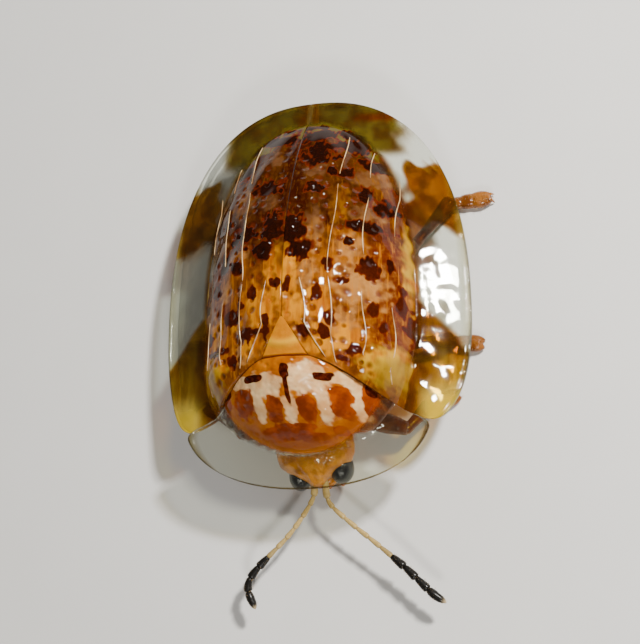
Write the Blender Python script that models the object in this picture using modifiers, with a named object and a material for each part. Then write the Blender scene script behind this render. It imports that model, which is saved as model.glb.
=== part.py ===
"""A tortoise beetle at life size, standing on its six feet with its feelers held forward.

The head points to -Y, the tail to +Y and the beetle's left side to +X. Sizes are in millimetres
until the meshes are finished, and the floor is the plane under the feet.
"""

import math

import bmesh
import bpy
from mathutils import Matrix, Vector

MM = 0.001

# The shell as seen from above
SHELL_LENGTH = 9.0
HALF_WIDTH = 3.57
FRONT_Y = -SHELL_LENGTH / 2
TAIL_Y = SHELL_LENGTH / 2
WIDEST_Y = -0.8
TAIL_SQUARENESS = 2.45
SHOULDER_TIP = (2.77, -3.12)
REAR_CORNER_TURN = math.radians(52)

# The scutellum, the small shield between the wing cases
SCUTELLUM_BASE_Y = -1.95
SCUTELLUM_TIP_Y = -1.1
SCUTELLUM_HALF = 0.46
SCUTELLUM_RIDGE = 0.05

# The dome of the wing cases and the flat margin around it
DOME_TOP_Y = -0.7
DISC_HALF = 2.45
DISC_REAR = 4.65
DISC_FRONT = 4.0
DISC_EDGE_Z = 1.7
DOME_RISE = 1.85
DISC_ROUNDNESS = 2.2
DOME_FULLNESS = 0.88
SIDE_FALL = 0.45
TAIL_FALL = 0.7
SHOULDER_FALL = -0.6
CALLUS_PLACE = (1.95, -2.05)
CALLUS_RISE = 0.3
CALLUS_RADIUS = 0.5

# The pronotum, the plate over the head and the first pair of legs
PRONOTUM_HALF = 2.81
PRONOTUM_WIDEST_Y = -2.9
PRONOTUM_DISC_Y = -2.0
PRONOTUM_DISC_HALF = 2.2
PRONOTUM_DISC_LENGTH = 1.95
PRONOTUM_EDGE_Z = 1.95
PRONOTUM_RISE = 1.45
PRONOTUM_FULLNESS = 1.2
PRONOTUM_NOSE_FALL = 0.25
PRONOTUM_BASE_SHARE = 0.82
HIND_CORNER = (2.8, -3.18)
HIND_CORNER_TURN = math.radians(75)
FRONT_CORNER_TURN = math.radians(48)

# Walls and the gap that neighbours keep
WALL = 0.45
GAP = 0.06
SUTURE_GAP = 0.06
DEEPEST_WALL = 0.64

# Ridges along each wing case: how far from the middle line to the rim each one runs,
# at the base, at the shoulder, at a third of the length and at the tail
RIDGE_STATIONS = (0.0, 0.14, 0.35, 1.0)
RIDGES = (
    (0.17, 0.13, 0.08, 0.10),
    (0.24, 0.29, 0.23, 0.24),
    (0.46, 0.46, 0.39, 0.40),
    (0.62, 0.61, 0.54, 0.54),
)
RIDGE_HALF = 0.03
RIDGE_RISE = 0.07
OUTER_SHARES = (0.7, 0.78, 0.86, 0.93, 1.0)
WING_ROWS = 26
PLATE_POINTS = 15

# The trunk under the shell
TRUNK_HALF = 2.3
TRUNK_FRONT_Y = -3.6
TRUNK_REAR_Y = 3.55
TRUNK_BLUNTNESS = 2.6
TRUNK_BELLY_Z = 0.88
TRUNK_MID_Z = 1.2
TRUNK_TOP_Z = 3.3
TRUNK_CUTS = (-3.25, -2.0, 0.45, TRUNK_REAR_Y + 0.1)
TRUNK_NAMES = ("prothorax", "thorax", "abdomen")
STERNITE_JOINTS = (1.15, 1.75, 2.35, 2.95)
STERNITE_STEP = 0.07

# The head
HEAD_CENTRE = (0.0, -3.75, 0.76)
HEAD_HALF = (0.7, 0.62, 0.42)
EYE_CENTRE = (0.56, -3.97, 0.82)
EYE_HALF = (0.22, 0.32, 0.28)
EYE_TURN = math.radians(25)
HEAD_BACK_Y = -3.31
HEAD_TURN = math.radians(4)
# The lip's centre and size, and the left jaw and palp, from the head's centre
LIP_CENTRE = (0.0, -0.36, -0.22)
LIP_HALF = (0.3, 0.26, 0.2)
JAW = ((0.16, -0.42, -0.2), (0.17, -0.52, -0.34), (0.06, -0.54, -0.47))
JAW_RADII = (0.12, 0.11, 0.05)
PALP = ((0.3, -0.1, -0.25), (0.42, -0.25, -0.42), (0.36, -0.42, -0.5))
PALP_RADII = (0.1, 0.1, 0.07)

# Legs: the joint with the hip, the knee, the ankle and the toe of each
LEGS = {
    "front_left": ((0.85, -2.75, 0.6), (1.95, -3.1, 0.62), (2.4, -2.55, 0.34), (3.0, -2.3)),
    "front_right": ((-0.85, -2.75, 0.6), (-1.95, -3.0, 0.62), (-2.45, -2.5, 0.34), (-3.05, -2.2)),
    "middle_left": ((0.9, -0.95, 0.58), (2.25, -1.15, 0.6), (2.95, -1.1, 0.35), (3.6, -1.18)),
    "middle_right": ((-0.9, -0.95, 0.58), (-2.25, -1.05, 0.6), (-2.95, -0.85, 0.35), (-3.5, -0.75)),
    "hind_left": ((0.9, 0.1, 0.58), (2.2, 1.15, 0.6), (3.0, 2.2, 0.35), (3.95, 2.26)),
    "hind_right": ((-0.9, 0.1, 0.58), (-2.15, 1.05, 0.6), (-2.75, 1.85, 0.35), (-3.3, 2.3)),
}
HIP_REACH = 0.42
HIP_HALF = (0.42, 0.3, 0.26)
HIP_Z = 0.82
THIGH_RADIUS = 0.26
SHIN_RADIUS = 0.23
# Places along a thigh or shin, and how thick it is there
THIGH_SHAPE = ((0.0, 0.7), (0.12, 0.88), (0.35, 1.0), (0.62, 0.98), (0.88, 0.8), (1.0, 0.5))
SHIN_SHAPE = ((0.0, 0.6), (0.15, 0.9), (0.5, 0.9), (0.85, 1.0), (1.0, 0.7))
KNEE_BULGE = 0.1
ANKLE_GAP = 0.2
FOOT_HEIGHT = 0.42
FOOT_HALF_WIDTH = 0.25
# Each pad's place along the foot, half length and share of the foot's width
PADS = ((0.14, 0.19, 0.8), (0.42, 0.2, 0.92), (0.72, 0.24, 1.05))
CLAW_FROM = 0.85
CLAW_RADII = (0.13, 0.1)

# Feelers: points along each one, from its root to its tip, and the lengths of its joints
LEFT_FEELER = (
    (0.29, -4.52, 0.8),
    (0.71, -5.12, 0.8),
    (1.3, -5.65, 0.76),
    (1.91, -6.17, 0.72),
    (2.44, -6.68, 0.68),
    (2.75, -6.9, 0.66),
)
RIGHT_FEELER = (
    (-0.29, -4.52, 0.8),
    (-0.5, -5.09, 0.8),
    (-0.99, -5.62, 0.77),
    (-1.5, -6.12, 0.73),
    (-1.68, -6.5, 0.7),
    (-1.55, -6.95, 0.66),
)
FEELER_JOINTS = (0.5, 0.3, 0.36, 0.34, 0.34, 0.34, 0.36, 0.38, 0.38, 0.38, 0.5)
FEELER_RADIUS = 0.23
CLUB_RADIUS = 0.25
CLUB_FROM = 7
JOINT_SHAPE = ((0.0, 0.72), (0.3, 0.92), (0.85, 1.0))
LAST_JOINT_SHAPE = ((0.0, 0.72), (0.3, 0.92), (0.85, 0.5))
FEELER_TIP_RADIUS = 0.06

COLOURS = {
    "amber": (0.62, 0.27, 0.06),
    "cream": (0.85, 0.58, 0.32),
    "orange": (0.85, 0.38, 0.05),
    "brown": (0.35, 0.14, 0.05),
    "black": (0.02, 0.02, 0.025),
    "straw": (0.72, 0.6, 0.35),
}


def clear_scene():
    for old in list(bpy.data.objects):
        bpy.data.objects.remove(old, do_unlink=True)


def paint(name, roughness=0.3):
    """The material of that colour, made on its first use."""
    found = bpy.data.materials.get(name)
    if found:
        return found
    made = bpy.data.materials.new(name)
    made.use_nodes = True
    shader = made.node_tree.nodes["Principled BSDF"]
    shader.inputs["Base Color"].default_value = (*COLOURS[name], 1.0)
    shader.inputs["Roughness"].default_value = roughness
    shader.inputs["Metallic"].default_value = 0.0
    return made


def add_object(name, mesh, group, colour):
    made = bpy.data.objects.new(name, mesh)
    group.objects.link(made)
    mesh.materials.clear()
    mesh.materials.append(paint(colour))
    mesh.shade_smooth()
    mesh.set_sharp_from_angle(angle=math.radians(45))
    return made


def evaluated_mesh(source):
    """The object's mesh with its modifiers, as new data."""
    bpy.context.view_layer.update()
    graph = bpy.context.evaluated_depsgraph_get()
    return bpy.data.meshes.new_from_object(source.evaluated_get(graph), depsgraph=graph)


def fused(name, pieces, group, colour):
    """One closed node from overlapping closed pieces, joined by a union. Only its largest surface stays."""
    body = pieces[0]
    others = bpy.data.collections.new(name + "_pieces")
    bpy.context.scene.collection.children.link(others)
    for piece in pieces[1:]:
        others.objects.link(piece)
        group.objects.unlink(piece)
    if pieces[1:]:
        union = body.modifiers.new("join", "BOOLEAN")
        union.operation = "UNION"
        union.operand_type = "COLLECTION"
        union.collection = others
        union.solver = "EXACT"
    mesh = evaluated_mesh(body)
    for piece in pieces:
        bpy.data.objects.remove(piece, do_unlink=True)
    bpy.data.collections.remove(others)
    keep_largest(mesh)
    return add_object(name, mesh, group, colour)


def keep_largest(mesh):
    """Drops every surface of the mesh but the one with the most faces."""
    work = bmesh.new()
    work.from_mesh(mesh)
    left = set(work.faces)
    surfaces = []
    while left:
        waiting = [left.pop()]
        surface = list(waiting)
        while waiting:
            face = waiting.pop()
            beside = {other for edge in face.edges for other in edge.link_faces} & left
            left -= beside
            surface += beside
            waiting += beside
        surfaces.append(surface)
    surfaces.sort(key=len)
    for surface in surfaces[:-1]:
        bmesh.ops.delete(work, geom=surface, context="FACES")
    bmesh.ops.remove_doubles(work, verts=work.verts, dist=1e-7)
    work.to_mesh(mesh)
    work.free()


def ellipsoid(centre, half, group, segments=16, rings=10, turn=None):
    """A closed ellipsoid with its poles along Y."""
    work = bmesh.new()
    bmesh.ops.create_uvsphere(work, u_segments=segments, v_segments=rings, radius=1.0)
    bmesh.ops.rotate(work, verts=work.verts, matrix=Matrix.Rotation(math.pi / 2, 3, "X"))
    bmesh.ops.scale(work, verts=work.verts, vec=Vector(half))
    if turn:
        bmesh.ops.rotate(work, verts=work.verts, matrix=turn)
    bmesh.ops.translate(work, verts=work.verts, vec=Vector(centre))
    bmesh.ops.scale(work, verts=work.verts, vec=Vector((MM, MM, MM)))
    mesh = bpy.data.meshes.new("ellipsoid")
    work.to_mesh(mesh)
    work.free()
    made = bpy.data.objects.new("ellipsoid", mesh)
    group.objects.link(made)
    return made


def tube(points, radii, group, resolution=2):
    """A closed round tube through points, with its own radius at each."""
    curve = bpy.data.curves.new("tube", "CURVE")
    curve.dimensions = "3D"
    curve.bevel_depth = MM
    curve.bevel_resolution = resolution
    curve.use_fill_caps = True
    spline = curve.splines.new("POLY")
    spline.points.add(len(points) - 1)
    for slot, place, radius in zip(spline.points, points, radii):
        slot.co = (place[0] * MM, place[1] * MM, place[2] * MM, 1.0)
        slot.radius = radius
    source = bpy.data.objects.new("tube", curve)
    group.objects.link(source)
    mesh = evaluated_mesh(source)
    bpy.data.objects.remove(source, do_unlink=True)
    work = bmesh.new()
    work.from_mesh(mesh)
    bmesh.ops.remove_doubles(work, verts=work.verts, dist=1e-7)
    bmesh.ops.recalc_face_normals(work, faces=work.faces)
    work.to_mesh(mesh)
    work.free()
    made = bpy.data.objects.new("tube", mesh)
    group.objects.link(made)
    return made


def disc_powers(x, y):
    """What x and y each add to how far out a point lies."""
    length = DISC_REAR if y > DOME_TOP_Y else DISC_FRONT
    return abs(x / DISC_HALF) ** DISC_ROUNDNESS, abs((y - DOME_TOP_Y) / length) ** DISC_ROUNDNESS


def disc_share(x, y):
    """How far out a point lies: 0 at the top of the dome, 1 at the edge of the disc, more on the margin."""
    return sum(disc_powers(x, y)) ** (1 / DISC_ROUNDNESS)


def plain_wing_height(x, y):
    """The wing cases' upper surface without its ridges and shoulder bumps."""
    share = disc_share(x, y)
    if share < 1:
        return DISC_EDGE_Z + DOME_RISE * (1 - share**2) ** DOME_FULLNESS
    across, along = disc_powers(x, y)
    end_fall = TAIL_FALL if y > DOME_TOP_Y else SHOULDER_FALL
    fall = (SIDE_FALL * across + end_fall * along) / (across + along)
    return DISC_EDGE_Z - fall * DISC_HALF * (share - 1)


def shoulder_bump(x, y):
    reach = math.hypot(x - CALLUS_PLACE[0], y - CALLUS_PLACE[1]) / CALLUS_RADIUS
    return CALLUS_RISE * math.exp(-(reach**2))


def pronotum_height(x, y):
    """The pronotum's upper surface: a dome on a margin that sinks a little towards the head."""
    across = abs(x / PRONOTUM_DISC_HALF) ** DISC_ROUNDNESS
    along = max(0.0, (PRONOTUM_DISC_Y - y) / PRONOTUM_DISC_LENGTH) ** DISC_ROUNDNESS
    share = (across + along) ** (1 / DISC_ROUNDNESS)
    dome = PRONOTUM_RISE * max(0.0, 1 - share**2) ** PRONOTUM_FULLNESS
    forward = max(0.0, (PRONOTUM_DISC_Y - y) / (PRONOTUM_DISC_Y - FRONT_Y))
    return PRONOTUM_EDGE_Z + dome - PRONOTUM_NOSE_FALL * forward**2


def bezier(points, t):
    """A point of the cubic curve with these four control points."""
    weights = ((1 - t) ** 3, 3 * t * (1 - t) ** 2, 3 * t * t * (1 - t), t**3)
    return tuple(sum(w * p[i] for w, p in zip(weights, points)) for i in (0, 1))


def wing_base(t):
    """The front edge of the left wing case, from the scutellum to the shoulder tip."""
    start = (SCUTELLUM_HALF + 1.5 * GAP, SCUTELLUM_BASE_Y)
    return bezier((start, (1.3, SCUTELLUM_BASE_Y - 0.2), (2.2, SHOULDER_TIP[1]), SHOULDER_TIP), t)


def wing_outline(turn):
    """The rim: turn 0 at the tail, a quarter turn where the shell is widest."""
    power = 2 / TAIL_SQUARENESS
    x = HALF_WIDTH * max(0.0, math.sin(turn)) ** power
    return x, WIDEST_Y + (TAIL_Y - WIDEST_Y) * max(0.0, math.cos(turn)) ** power


def wing_side(t):
    """The rim from the shoulder tip round to the rear corner."""
    front_share = 0.38
    if t < front_share:
        turn = math.pi / 2 * t / front_share
        x = SHOULDER_TIP[0] + (HALF_WIDTH - SHOULDER_TIP[0]) * math.sin(turn)
        return x, WIDEST_Y - (WIDEST_Y - SHOULDER_TIP[1]) * math.cos(turn)
    share = (t - front_share) / (1 - front_share)
    return wing_outline(math.pi / 2 + share * (REAR_CORNER_TURN - math.pi / 2))


def wing_tail(t):
    """The rim from the tip of the tail to the rear corner."""
    x, y = wing_outline(t * REAR_CORNER_TURN)
    return max(x, SUTURE_GAP / 2), y


def wing_suture(t):
    """The inner edge of the left wing case, round the scutellum and down the middle line."""
    y = SCUTELLUM_BASE_Y + t * (TAIL_Y - SCUTELLUM_BASE_Y)
    notch = max(0.0, (SCUTELLUM_TIP_Y - y) / (SCUTELLUM_TIP_Y - SCUTELLUM_BASE_Y))
    return SUTURE_GAP / 2 + (SCUTELLUM_HALF + 1.5 * GAP - SUTURE_GAP / 2) * notch, y


def patch(across, along, front, rear, inner, outer):
    """A point of the patch between four edges, at a share across and a share along."""
    corners = (front(0), front(1), rear(0), rear(1))
    place = []
    for i in (0, 1):
        ruled = (1 - along) * front(across)[i] + along * rear(across)[i]
        ruled += (1 - across) * inner(along)[i] + across * outer(along)[i]
        square = (1 - along) * ((1 - across) * corners[0][i] + across * corners[1][i])
        square += along * ((1 - across) * corners[2][i] + across * corners[3][i])
        place.append(ruled - square)
    return place


def between(stations, values, at):
    """The value at a place, running smoothly from station to station."""
    for left, right, low, high in zip(stations, stations[1:], values, values[1:]):
        if at <= right:
            t = (at - left) / (right - left)
            return low + (high - low) * t * t * (3 - 2 * t)
    return values[-1]


def wing_columns(along):
    """The shares across at which one row has its points, each with its height on a ridge from 0 to 1."""
    crests = [between(RIDGE_STATIONS, ridge, along) for ridge in RIDGES]
    columns = [(0.0, 0.0)]
    for last, crest, following in zip([0.0, *crests], crests, [*crests[1:], OUTER_SHARES[0]]):
        half = min(RIDGE_HALF, (crest - last) / 3, (following - crest) / 3)
        columns.append(((last + crest) / 2, 0.0))
        columns += [(crest - half, 0.0), (crest, 1.0), (crest + half, 0.0)]
    columns += [(share, 0.0) for share in OUTER_SHARES]
    return columns


def sheet_object(name, columns, rows, place_of, group):
    """A grid of points, each placed by place_of(column, row)."""
    work = bmesh.new()
    bmesh.ops.create_grid(work, x_segments=columns - 1, y_segments=rows - 1, size=1.0)
    for vert in work.verts:
        column = round((vert.co.x + 1) / 2 * (columns - 1))
        row = round((vert.co.y + 1) / 2 * (rows - 1))
        vert.co = Vector(place_of(column, row)) * MM
    bmesh.ops.recalc_face_normals(work, faces=work.faces)
    if sum(face.normal.z for face in work.faces) < 0:
        bmesh.ops.reverse_faces(work, faces=work.faces)
    mesh = bpy.data.meshes.new(name)
    work.to_mesh(mesh)
    work.free()
    made = bpy.data.objects.new(name, mesh)
    group.objects.link(made)
    return made


def underside(x, y, height):
    """The height of a shell's lower face: straight down, and further where the shell is steep."""
    step = 0.02
    slope_x = (height(x + step, y) - height(x - step, y)) / (2 * step)
    slope_y = (height(x, y + step) - height(x, y - step)) / (2 * step)
    depth = WALL * math.sqrt(1 + slope_x**2 + slope_y**2)
    return height(x, y) - min(depth, DEEPEST_WALL)


def thickened(sheet, height):
    """The sheet's mesh with a wall under it and upright edges."""
    count = len(evaluated_mesh(sheet).vertices)
    solid = sheet.modifiers.new("wall", "SOLIDIFY")
    solid.thickness = WALL * MM
    solid.offset = -1.0
    mesh = evaluated_mesh(sheet)
    bpy.data.objects.remove(sheet, do_unlink=True)
    for index in range(count):
        x, y, _ = mesh.vertices[index].co / MM
        mesh.vertices[count + index].co = Vector((x, y, underside(x, y, height))) * MM
    return mesh


def mirrored(mesh, name):
    """A copy of the mesh on the other side of the middle line."""
    work = bmesh.new()
    work.from_mesh(mesh)
    bmesh.ops.scale(work, verts=work.verts, vec=Vector((-1, 1, 1)))
    bmesh.ops.reverse_faces(work, faces=work.faces)
    copy = bpy.data.meshes.new(name)
    work.to_mesh(copy)
    work.free()
    return copy


def add_wing_cases(group):
    """Both wing cases: a domed sheet with a wall, ridges along it and a bump at each shoulder."""
    rows = [row / (WING_ROWS - 1) for row in range(WING_ROWS)]
    grid = [wing_columns(along) for along in rows]

    def place_of(column, row):
        across, crest = grid[row][column]
        x, y = patch(across, rows[row], wing_base, wing_tail, wing_suture, wing_side)
        inside_disc = min(1.0, max(0.0, (1 - disc_share(x, y)) * 6))
        rise = RIDGE_RISE * crest * inside_disc + shoulder_bump(x, y)
        return x, y, plain_wing_height(x, y) + rise

    sheet = sheet_object("wing", len(grid[0]), WING_ROWS, place_of, group)
    mesh = thickened(sheet, plain_wing_height)
    add_object("wing_case_left", mesh, group, "amber")
    add_object("wing_case_right", mirrored(mesh, "wing_case_right"), group, "amber")


def pronotum_outline(turn):
    """The front edge: turn 0 at the middle of the front, a quarter turn where the plate is widest."""
    power = 0.92
    x = PRONOTUM_HALF * max(0.0, math.sin(turn)) ** power
    return x, PRONOTUM_WIDEST_Y - (PRONOTUM_WIDEST_Y - FRONT_Y) * max(0.0, math.cos(turn)) ** power


def pronotum_base(t):
    """The rear edge of the pronotum's left half, which follows the scutellum and the wing case."""
    behind_scutellum = 0.2
    if t < behind_scutellum:
        return t / behind_scutellum * SCUTELLUM_HALF, SCUTELLUM_BASE_Y - GAP
    x, y = wing_base((t - behind_scutellum) / (1 - behind_scutellum) * PRONOTUM_BASE_SHARE)
    return x - GAP, y - GAP * 1.6


def pronotum_side(t):
    """The side, from the base round the hind corner and on to where the front edge begins."""
    corner_share = 0.35
    if t < corner_share:
        start, end, s = pronotum_base(1), pronotum_outline(HIND_CORNER_TURN), t / corner_share
        ends = ((1 - s) ** 2 * start[i] + s**2 * end[i] for i in (0, 1))
        return tuple(sides + 2 * s * (1 - s) * middle for sides, middle in zip(ends, HIND_CORNER))
    share = (t - corner_share) / (1 - corner_share)
    return pronotum_outline(HIND_CORNER_TURN + share * (FRONT_CORNER_TURN - HIND_CORNER_TURN))


def pronotum_front(t):
    return pronotum_outline(t * FRONT_CORNER_TURN)


def pronotum_middle(t):
    return 0.0, SCUTELLUM_BASE_Y - GAP + t * (FRONT_Y - SCUTELLUM_BASE_Y + GAP)


def add_pronotum(group):
    """The pronotum: half a domed sheet with a wall, mirrored over the middle line."""
    last = PLATE_POINTS - 1

    def place_of(column, row):
        edges = (pronotum_base, pronotum_front, pronotum_middle, pronotum_side)
        x, y = patch(column / last, row / last, *edges)
        return x, y, pronotum_height(x, y)

    sheet = sheet_object("plate", PLATE_POINTS, PLATE_POINTS, place_of, group)
    twin = sheet.modifiers.new("twin", "MIRROR")
    twin.use_clip = True
    twin.merge_threshold = 1e-6
    add_object("pronotum", thickened(sheet, pronotum_height), group, "cream")


def add_scutellum(group):
    """The scutellum: a small three-sided shield with a low ridge across its base."""
    columns, rows = 7, 8
    front = SCUTELLUM_BASE_Y + GAP / 2
    length = SCUTELLUM_TIP_Y - GAP - front

    def place_of(column, row):
        along = row / (rows - 1)
        half = SCUTELLUM_HALF * (1 - along) + 0.04 * along
        y = front + length * along
        ridge = SCUTELLUM_RIDGE * math.exp(-(((along - 0.3) / 0.14) ** 2))
        return half * (2 * column / (columns - 1) - 1), y, plain_wing_height(0, y) + ridge

    sheet = sheet_object("shield", columns, rows, place_of, group)
    add_object("scutellum", thickened(sheet, plain_wing_height), group, "orange")


def ceiling(x, y):
    """The height of the shell's underside over a point, less a gap."""
    height = pronotum_height if y < SCUTELLUM_BASE_Y else plain_wing_height
    return underside(x, y, height) - 1.5 * GAP


def low_ceiling(x, y):
    """The lowest ceiling close round a point."""
    return min(ceiling(x + dx, y + dy) for dx in (-0.12, 0, 0.12) for dy in (-0.15, 0, 0.15))


def trunk_width(y):
    """Half the trunk's width: as much as keeps its side under the shell."""
    middle = (TRUNK_FRONT_Y + TRUNK_REAR_Y) / 2
    share = abs(y - middle) / (TRUNK_REAR_Y - middle)
    width = TRUNK_HALF * max(0.0, 1 - share**TRUNK_BLUNTNESS) ** (1 / TRUNK_BLUNTNESS)
    while width > 0.05 and low_ceiling(width, y) < TRUNK_MID_Z + 0.08:
        width -= 0.03
    return max(width, 0.0)


def trunk_place(ring, turn):
    """A point of the trunk's surface: ring runs from -1 at the front to 1 at the rear."""
    y = (TRUNK_FRONT_Y + TRUNK_REAR_Y) / 2 + (TRUNK_REAR_Y - TRUNK_FRONT_Y) / 2 * ring
    width = trunk_width(y)
    fullness = max(0.0, 1 - abs(ring) ** TRUNK_BLUNTNESS) ** (1 / TRUNK_BLUNTNESS)
    across, up = math.cos(turn), math.sin(turn)
    x = width * math.copysign(abs(across) ** 0.85, across)
    if up >= 0:
        top = min(TRUNK_TOP_Z, low_ceiling(x, y)) - TRUNK_MID_Z
        return x, y, TRUNK_MID_Z + top * up**0.5 * min(1.0, 2 * fullness)
    z = TRUNK_MID_Z - (TRUNK_MID_Z - TRUNK_BELLY_Z) * abs(up) ** 0.7 * fullness
    for joint in STERNITE_JOINTS:
        z += STERNITE_STEP * math.exp(-(((y - joint) / 0.09) ** 2)) * abs(up)
    return x, y, z


def cut_away(work, y, keep_above):
    """Cuts the closed mesh by a plane across Y and caps it."""
    everything = work.verts[:] + work.edges[:] + work.faces[:]
    cut = bmesh.ops.bisect_plane(
        work, geom=everything, plane_co=(0, y * MM, 0), plane_no=(0, 1, 0),
        clear_inner=keep_above, clear_outer=not keep_above, dist=1e-8,
    )
    rim = [e for e in cut["geom_cut"] if isinstance(e, bmesh.types.BMEdge)]
    if rim:
        bmesh.ops.holes_fill(work, edges=rim)


def add_trunk(group):
    """Prothorax, thorax and abdomen: one body under the shell, parted by thin cuts."""
    for name, front, rear in zip(TRUNK_NAMES, TRUNK_CUTS, TRUNK_CUTS[1:]):
        work = bmesh.new()
        bmesh.ops.create_uvsphere(work, u_segments=28, v_segments=40, radius=1.0)
        for vert in work.verts:
            turn = math.atan2(vert.co.y, vert.co.x)
            ring = math.asin(max(-1.0, min(1.0, vert.co.z))) / (math.pi / 2)
            vert.co = Vector(trunk_place(ring, turn)) * MM
        cut_away(work, front + GAP / 2, True)
        cut_away(work, rear - GAP / 2, False)
        bmesh.ops.recalc_face_normals(work, faces=work.faces)
        mesh = bpy.data.meshes.new(name)
        work.to_mesh(mesh)
        work.free()
        body = bpy.data.objects.new(name + "_body", mesh)
        group.objects.link(body)
        pieces = [body]
        for (x, y, _), *_ in LEGS.values():
            if front < y < rear:
                hip = (x - math.copysign(HIP_REACH, x), y, HIP_Z)
                pieces.append(ellipsoid(hip, HIP_HALF, group, 12, 8))
        fused(name, pieces, group, "brown")


def cut_with(body, cutter):
    """Takes the cutter's shape out of the body's mesh, and removes the cutter."""
    cut = body.modifiers.new("cut", "BOOLEAN")
    cut.operation = "DIFFERENCE"
    cut.object = cutter
    cut.solver = "EXACT"
    mesh = evaluated_mesh(body)
    body.modifiers.clear()
    body.data = mesh
    bpy.data.objects.remove(cutter, do_unlink=True)


def add_head(group):
    """The head with its lip, jaws and palps, its eye sockets, and an eye in each."""
    centre = Vector(HEAD_CENTRE)
    pieces = [ellipsoid(centre, HEAD_HALF, group, 20, 14)]
    pieces.append(ellipsoid(centre + Vector(LIP_CENTRE), LIP_HALF, group, 12, 8))
    for side in (-1, 1):
        for route, radii in ((JAW, JAW_RADII), (PALP, PALP_RADII)):
            places = [centre + Vector((side * x, y, z)) for x, y, z in route]
            pieces.append(tube(places, radii, group))
    head = fused("head", pieces, group, "orange")
    for side in (-1, 1):
        cut_with(head, eyeball(side, GAP, group))
    work = bmesh.new()
    work.from_mesh(head.data)
    cut_away(work, HEAD_BACK_Y, False)
    work.to_mesh(head.data)
    work.free()
    made = [head]
    for side, name in ((1, "eye_left"), (-1, "eye_right")):
        eye = eyeball(side, 0.0, group)
        mesh = eye.data
        bpy.data.objects.remove(eye, do_unlink=True)
        made.append(add_object(name, mesh, group, "black"))
    neck = Matrix.Translation((0, (HEAD_BACK_Y - 0.2) * MM, 0))
    turn = neck @ Matrix.Rotation(HEAD_TURN, 4, "Z") @ neck.inverted()
    for piece in made:
        piece.data.transform(turn)


def eyeball(side, more, group):
    """One eye, or its socket when it is made larger."""
    centre = (side * EYE_CENTRE[0], EYE_CENTRE[1], EYE_CENTRE[2])
    half = tuple(half + more for half in EYE_HALF)
    return ellipsoid(centre, half, group, 14, 10, Matrix.Rotation(side * EYE_TURN, 3, "Z"))


def smooth_route(points):
    """Many points on a smooth curve through the given ones, and how far along it each lies."""
    ends = [Vector(p) for p in points]
    ends = [ends[0] * 2 - ends[1], *ends, ends[-1] * 2 - ends[-2]]
    steps = 20
    dense = []
    for a, b, c, d in zip(ends, ends[1:], ends[2:], ends[3:]):
        for step in range(steps):
            t = step / steps
            bend = (2 * a - 5 * b + 4 * c - d) * t**2 + (3 * b - a - 3 * c + d) * t**3
            dense.append(0.5 * (2 * b + (c - a) * t + bend))
    dense.append(ends[-2])
    reach = [0.0]
    for a, b in zip(dense, dense[1:]):
        reach.append(reach[-1] + (b - a).length)
    return dense, reach


def along_route(dense, reach, at):
    """The point of the curve at a distance from its start."""
    for i in range(1, len(dense)):
        if reach[i] >= at:
            share = (at - reach[i - 1]) / max(reach[i] - reach[i - 1], 1e-9)
            return dense[i - 1].lerp(dense[i], share)
    return dense[-1]


def add_feeler(name, points, group):
    """A feeler of eleven joints, the last four thicker, each a little wider at its far end."""
    dense, reach = smooth_route(points)
    scale = reach[-1] / sum(FEELER_JOINTS)
    places, radii, start = [], [], 0.0
    for number, joint in enumerate(FEELER_JOINTS):
        radius = CLUB_RADIUS if number >= CLUB_FROM else FEELER_RADIUS
        shape = LAST_JOINT_SHAPE if number == len(FEELER_JOINTS) - 1 else JOINT_SHAPE
        for share, width in shape:
            places.append(along_route(dense, reach, start + share * joint * scale))
            radii.append(radius * width)
        start += joint * scale
    places.append(dense[-1])
    radii.append(FEELER_TIP_RADIUS)
    piece = tube(places, radii, group)
    fused(name, [piece], group, "straw")


def flat_footed(mesh):
    """Cuts the mesh off level with the floor."""
    work = bmesh.new()
    work.from_mesh(mesh)
    everything = work.verts[:] + work.edges[:] + work.faces[:]
    cut = bmesh.ops.bisect_plane(
        work, geom=everything, plane_co=(0, 0, 0), plane_no=(0, 0, 1), clear_inner=True, dist=1e-8
    )
    rim = [e for e in cut["geom_cut"] if isinstance(e, bmesh.types.BMEdge)]
    bmesh.ops.holes_fill(work, edges=rim)
    bmesh.ops.recalc_face_normals(work, faces=work.faces)
    work.to_mesh(mesh)
    work.free()


def shortened(start, end, front, back):
    """The two ends of a limb, drawn in by a length at the front and at the back."""
    a, b = Vector(start), Vector(end)
    run = (b - a).normalized()
    return a + run * front, b - run * back


def limb(name, start, end, radius, shape, group):
    """One straight, closed part of a leg, thicker and thinner along its length."""
    places = [start.lerp(end, share) for share, _ in shape]
    piece = tube(places, [radius * width for _, width in shape], group)
    fused(name, [piece], group, "brown")


def add_foot(name, ankle, toe, group):
    """A foot of three broad pads and a claw, with a flat sole."""
    start = Vector((ankle.x, ankle.y, 0.0))
    run = toe - start
    turn = Matrix.Rotation(math.atan2(-run.x, run.y), 3, "Z")
    pieces = []
    for share, half_length, width in PADS:
        centre = start.lerp(toe, share) + Vector((0, 0, FOOT_HEIGHT * 0.42))
        half = (FOOT_HALF_WIDTH * width, half_length, FOOT_HEIGHT * 0.56)
        pieces.append(ellipsoid(centre, half, group, 12, 8, turn))
    claw_root = start.lerp(toe, CLAW_FROM) + Vector((0, 0, FOOT_HEIGHT * 0.5))
    claw_tip = toe + Vector((0, 0, FOOT_HEIGHT * 0.35))
    pieces.append(tube([claw_root, claw_tip], CLAW_RADII, group))
    foot = fused(name, pieces, group, "brown")
    flat_footed(foot.data)


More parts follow.
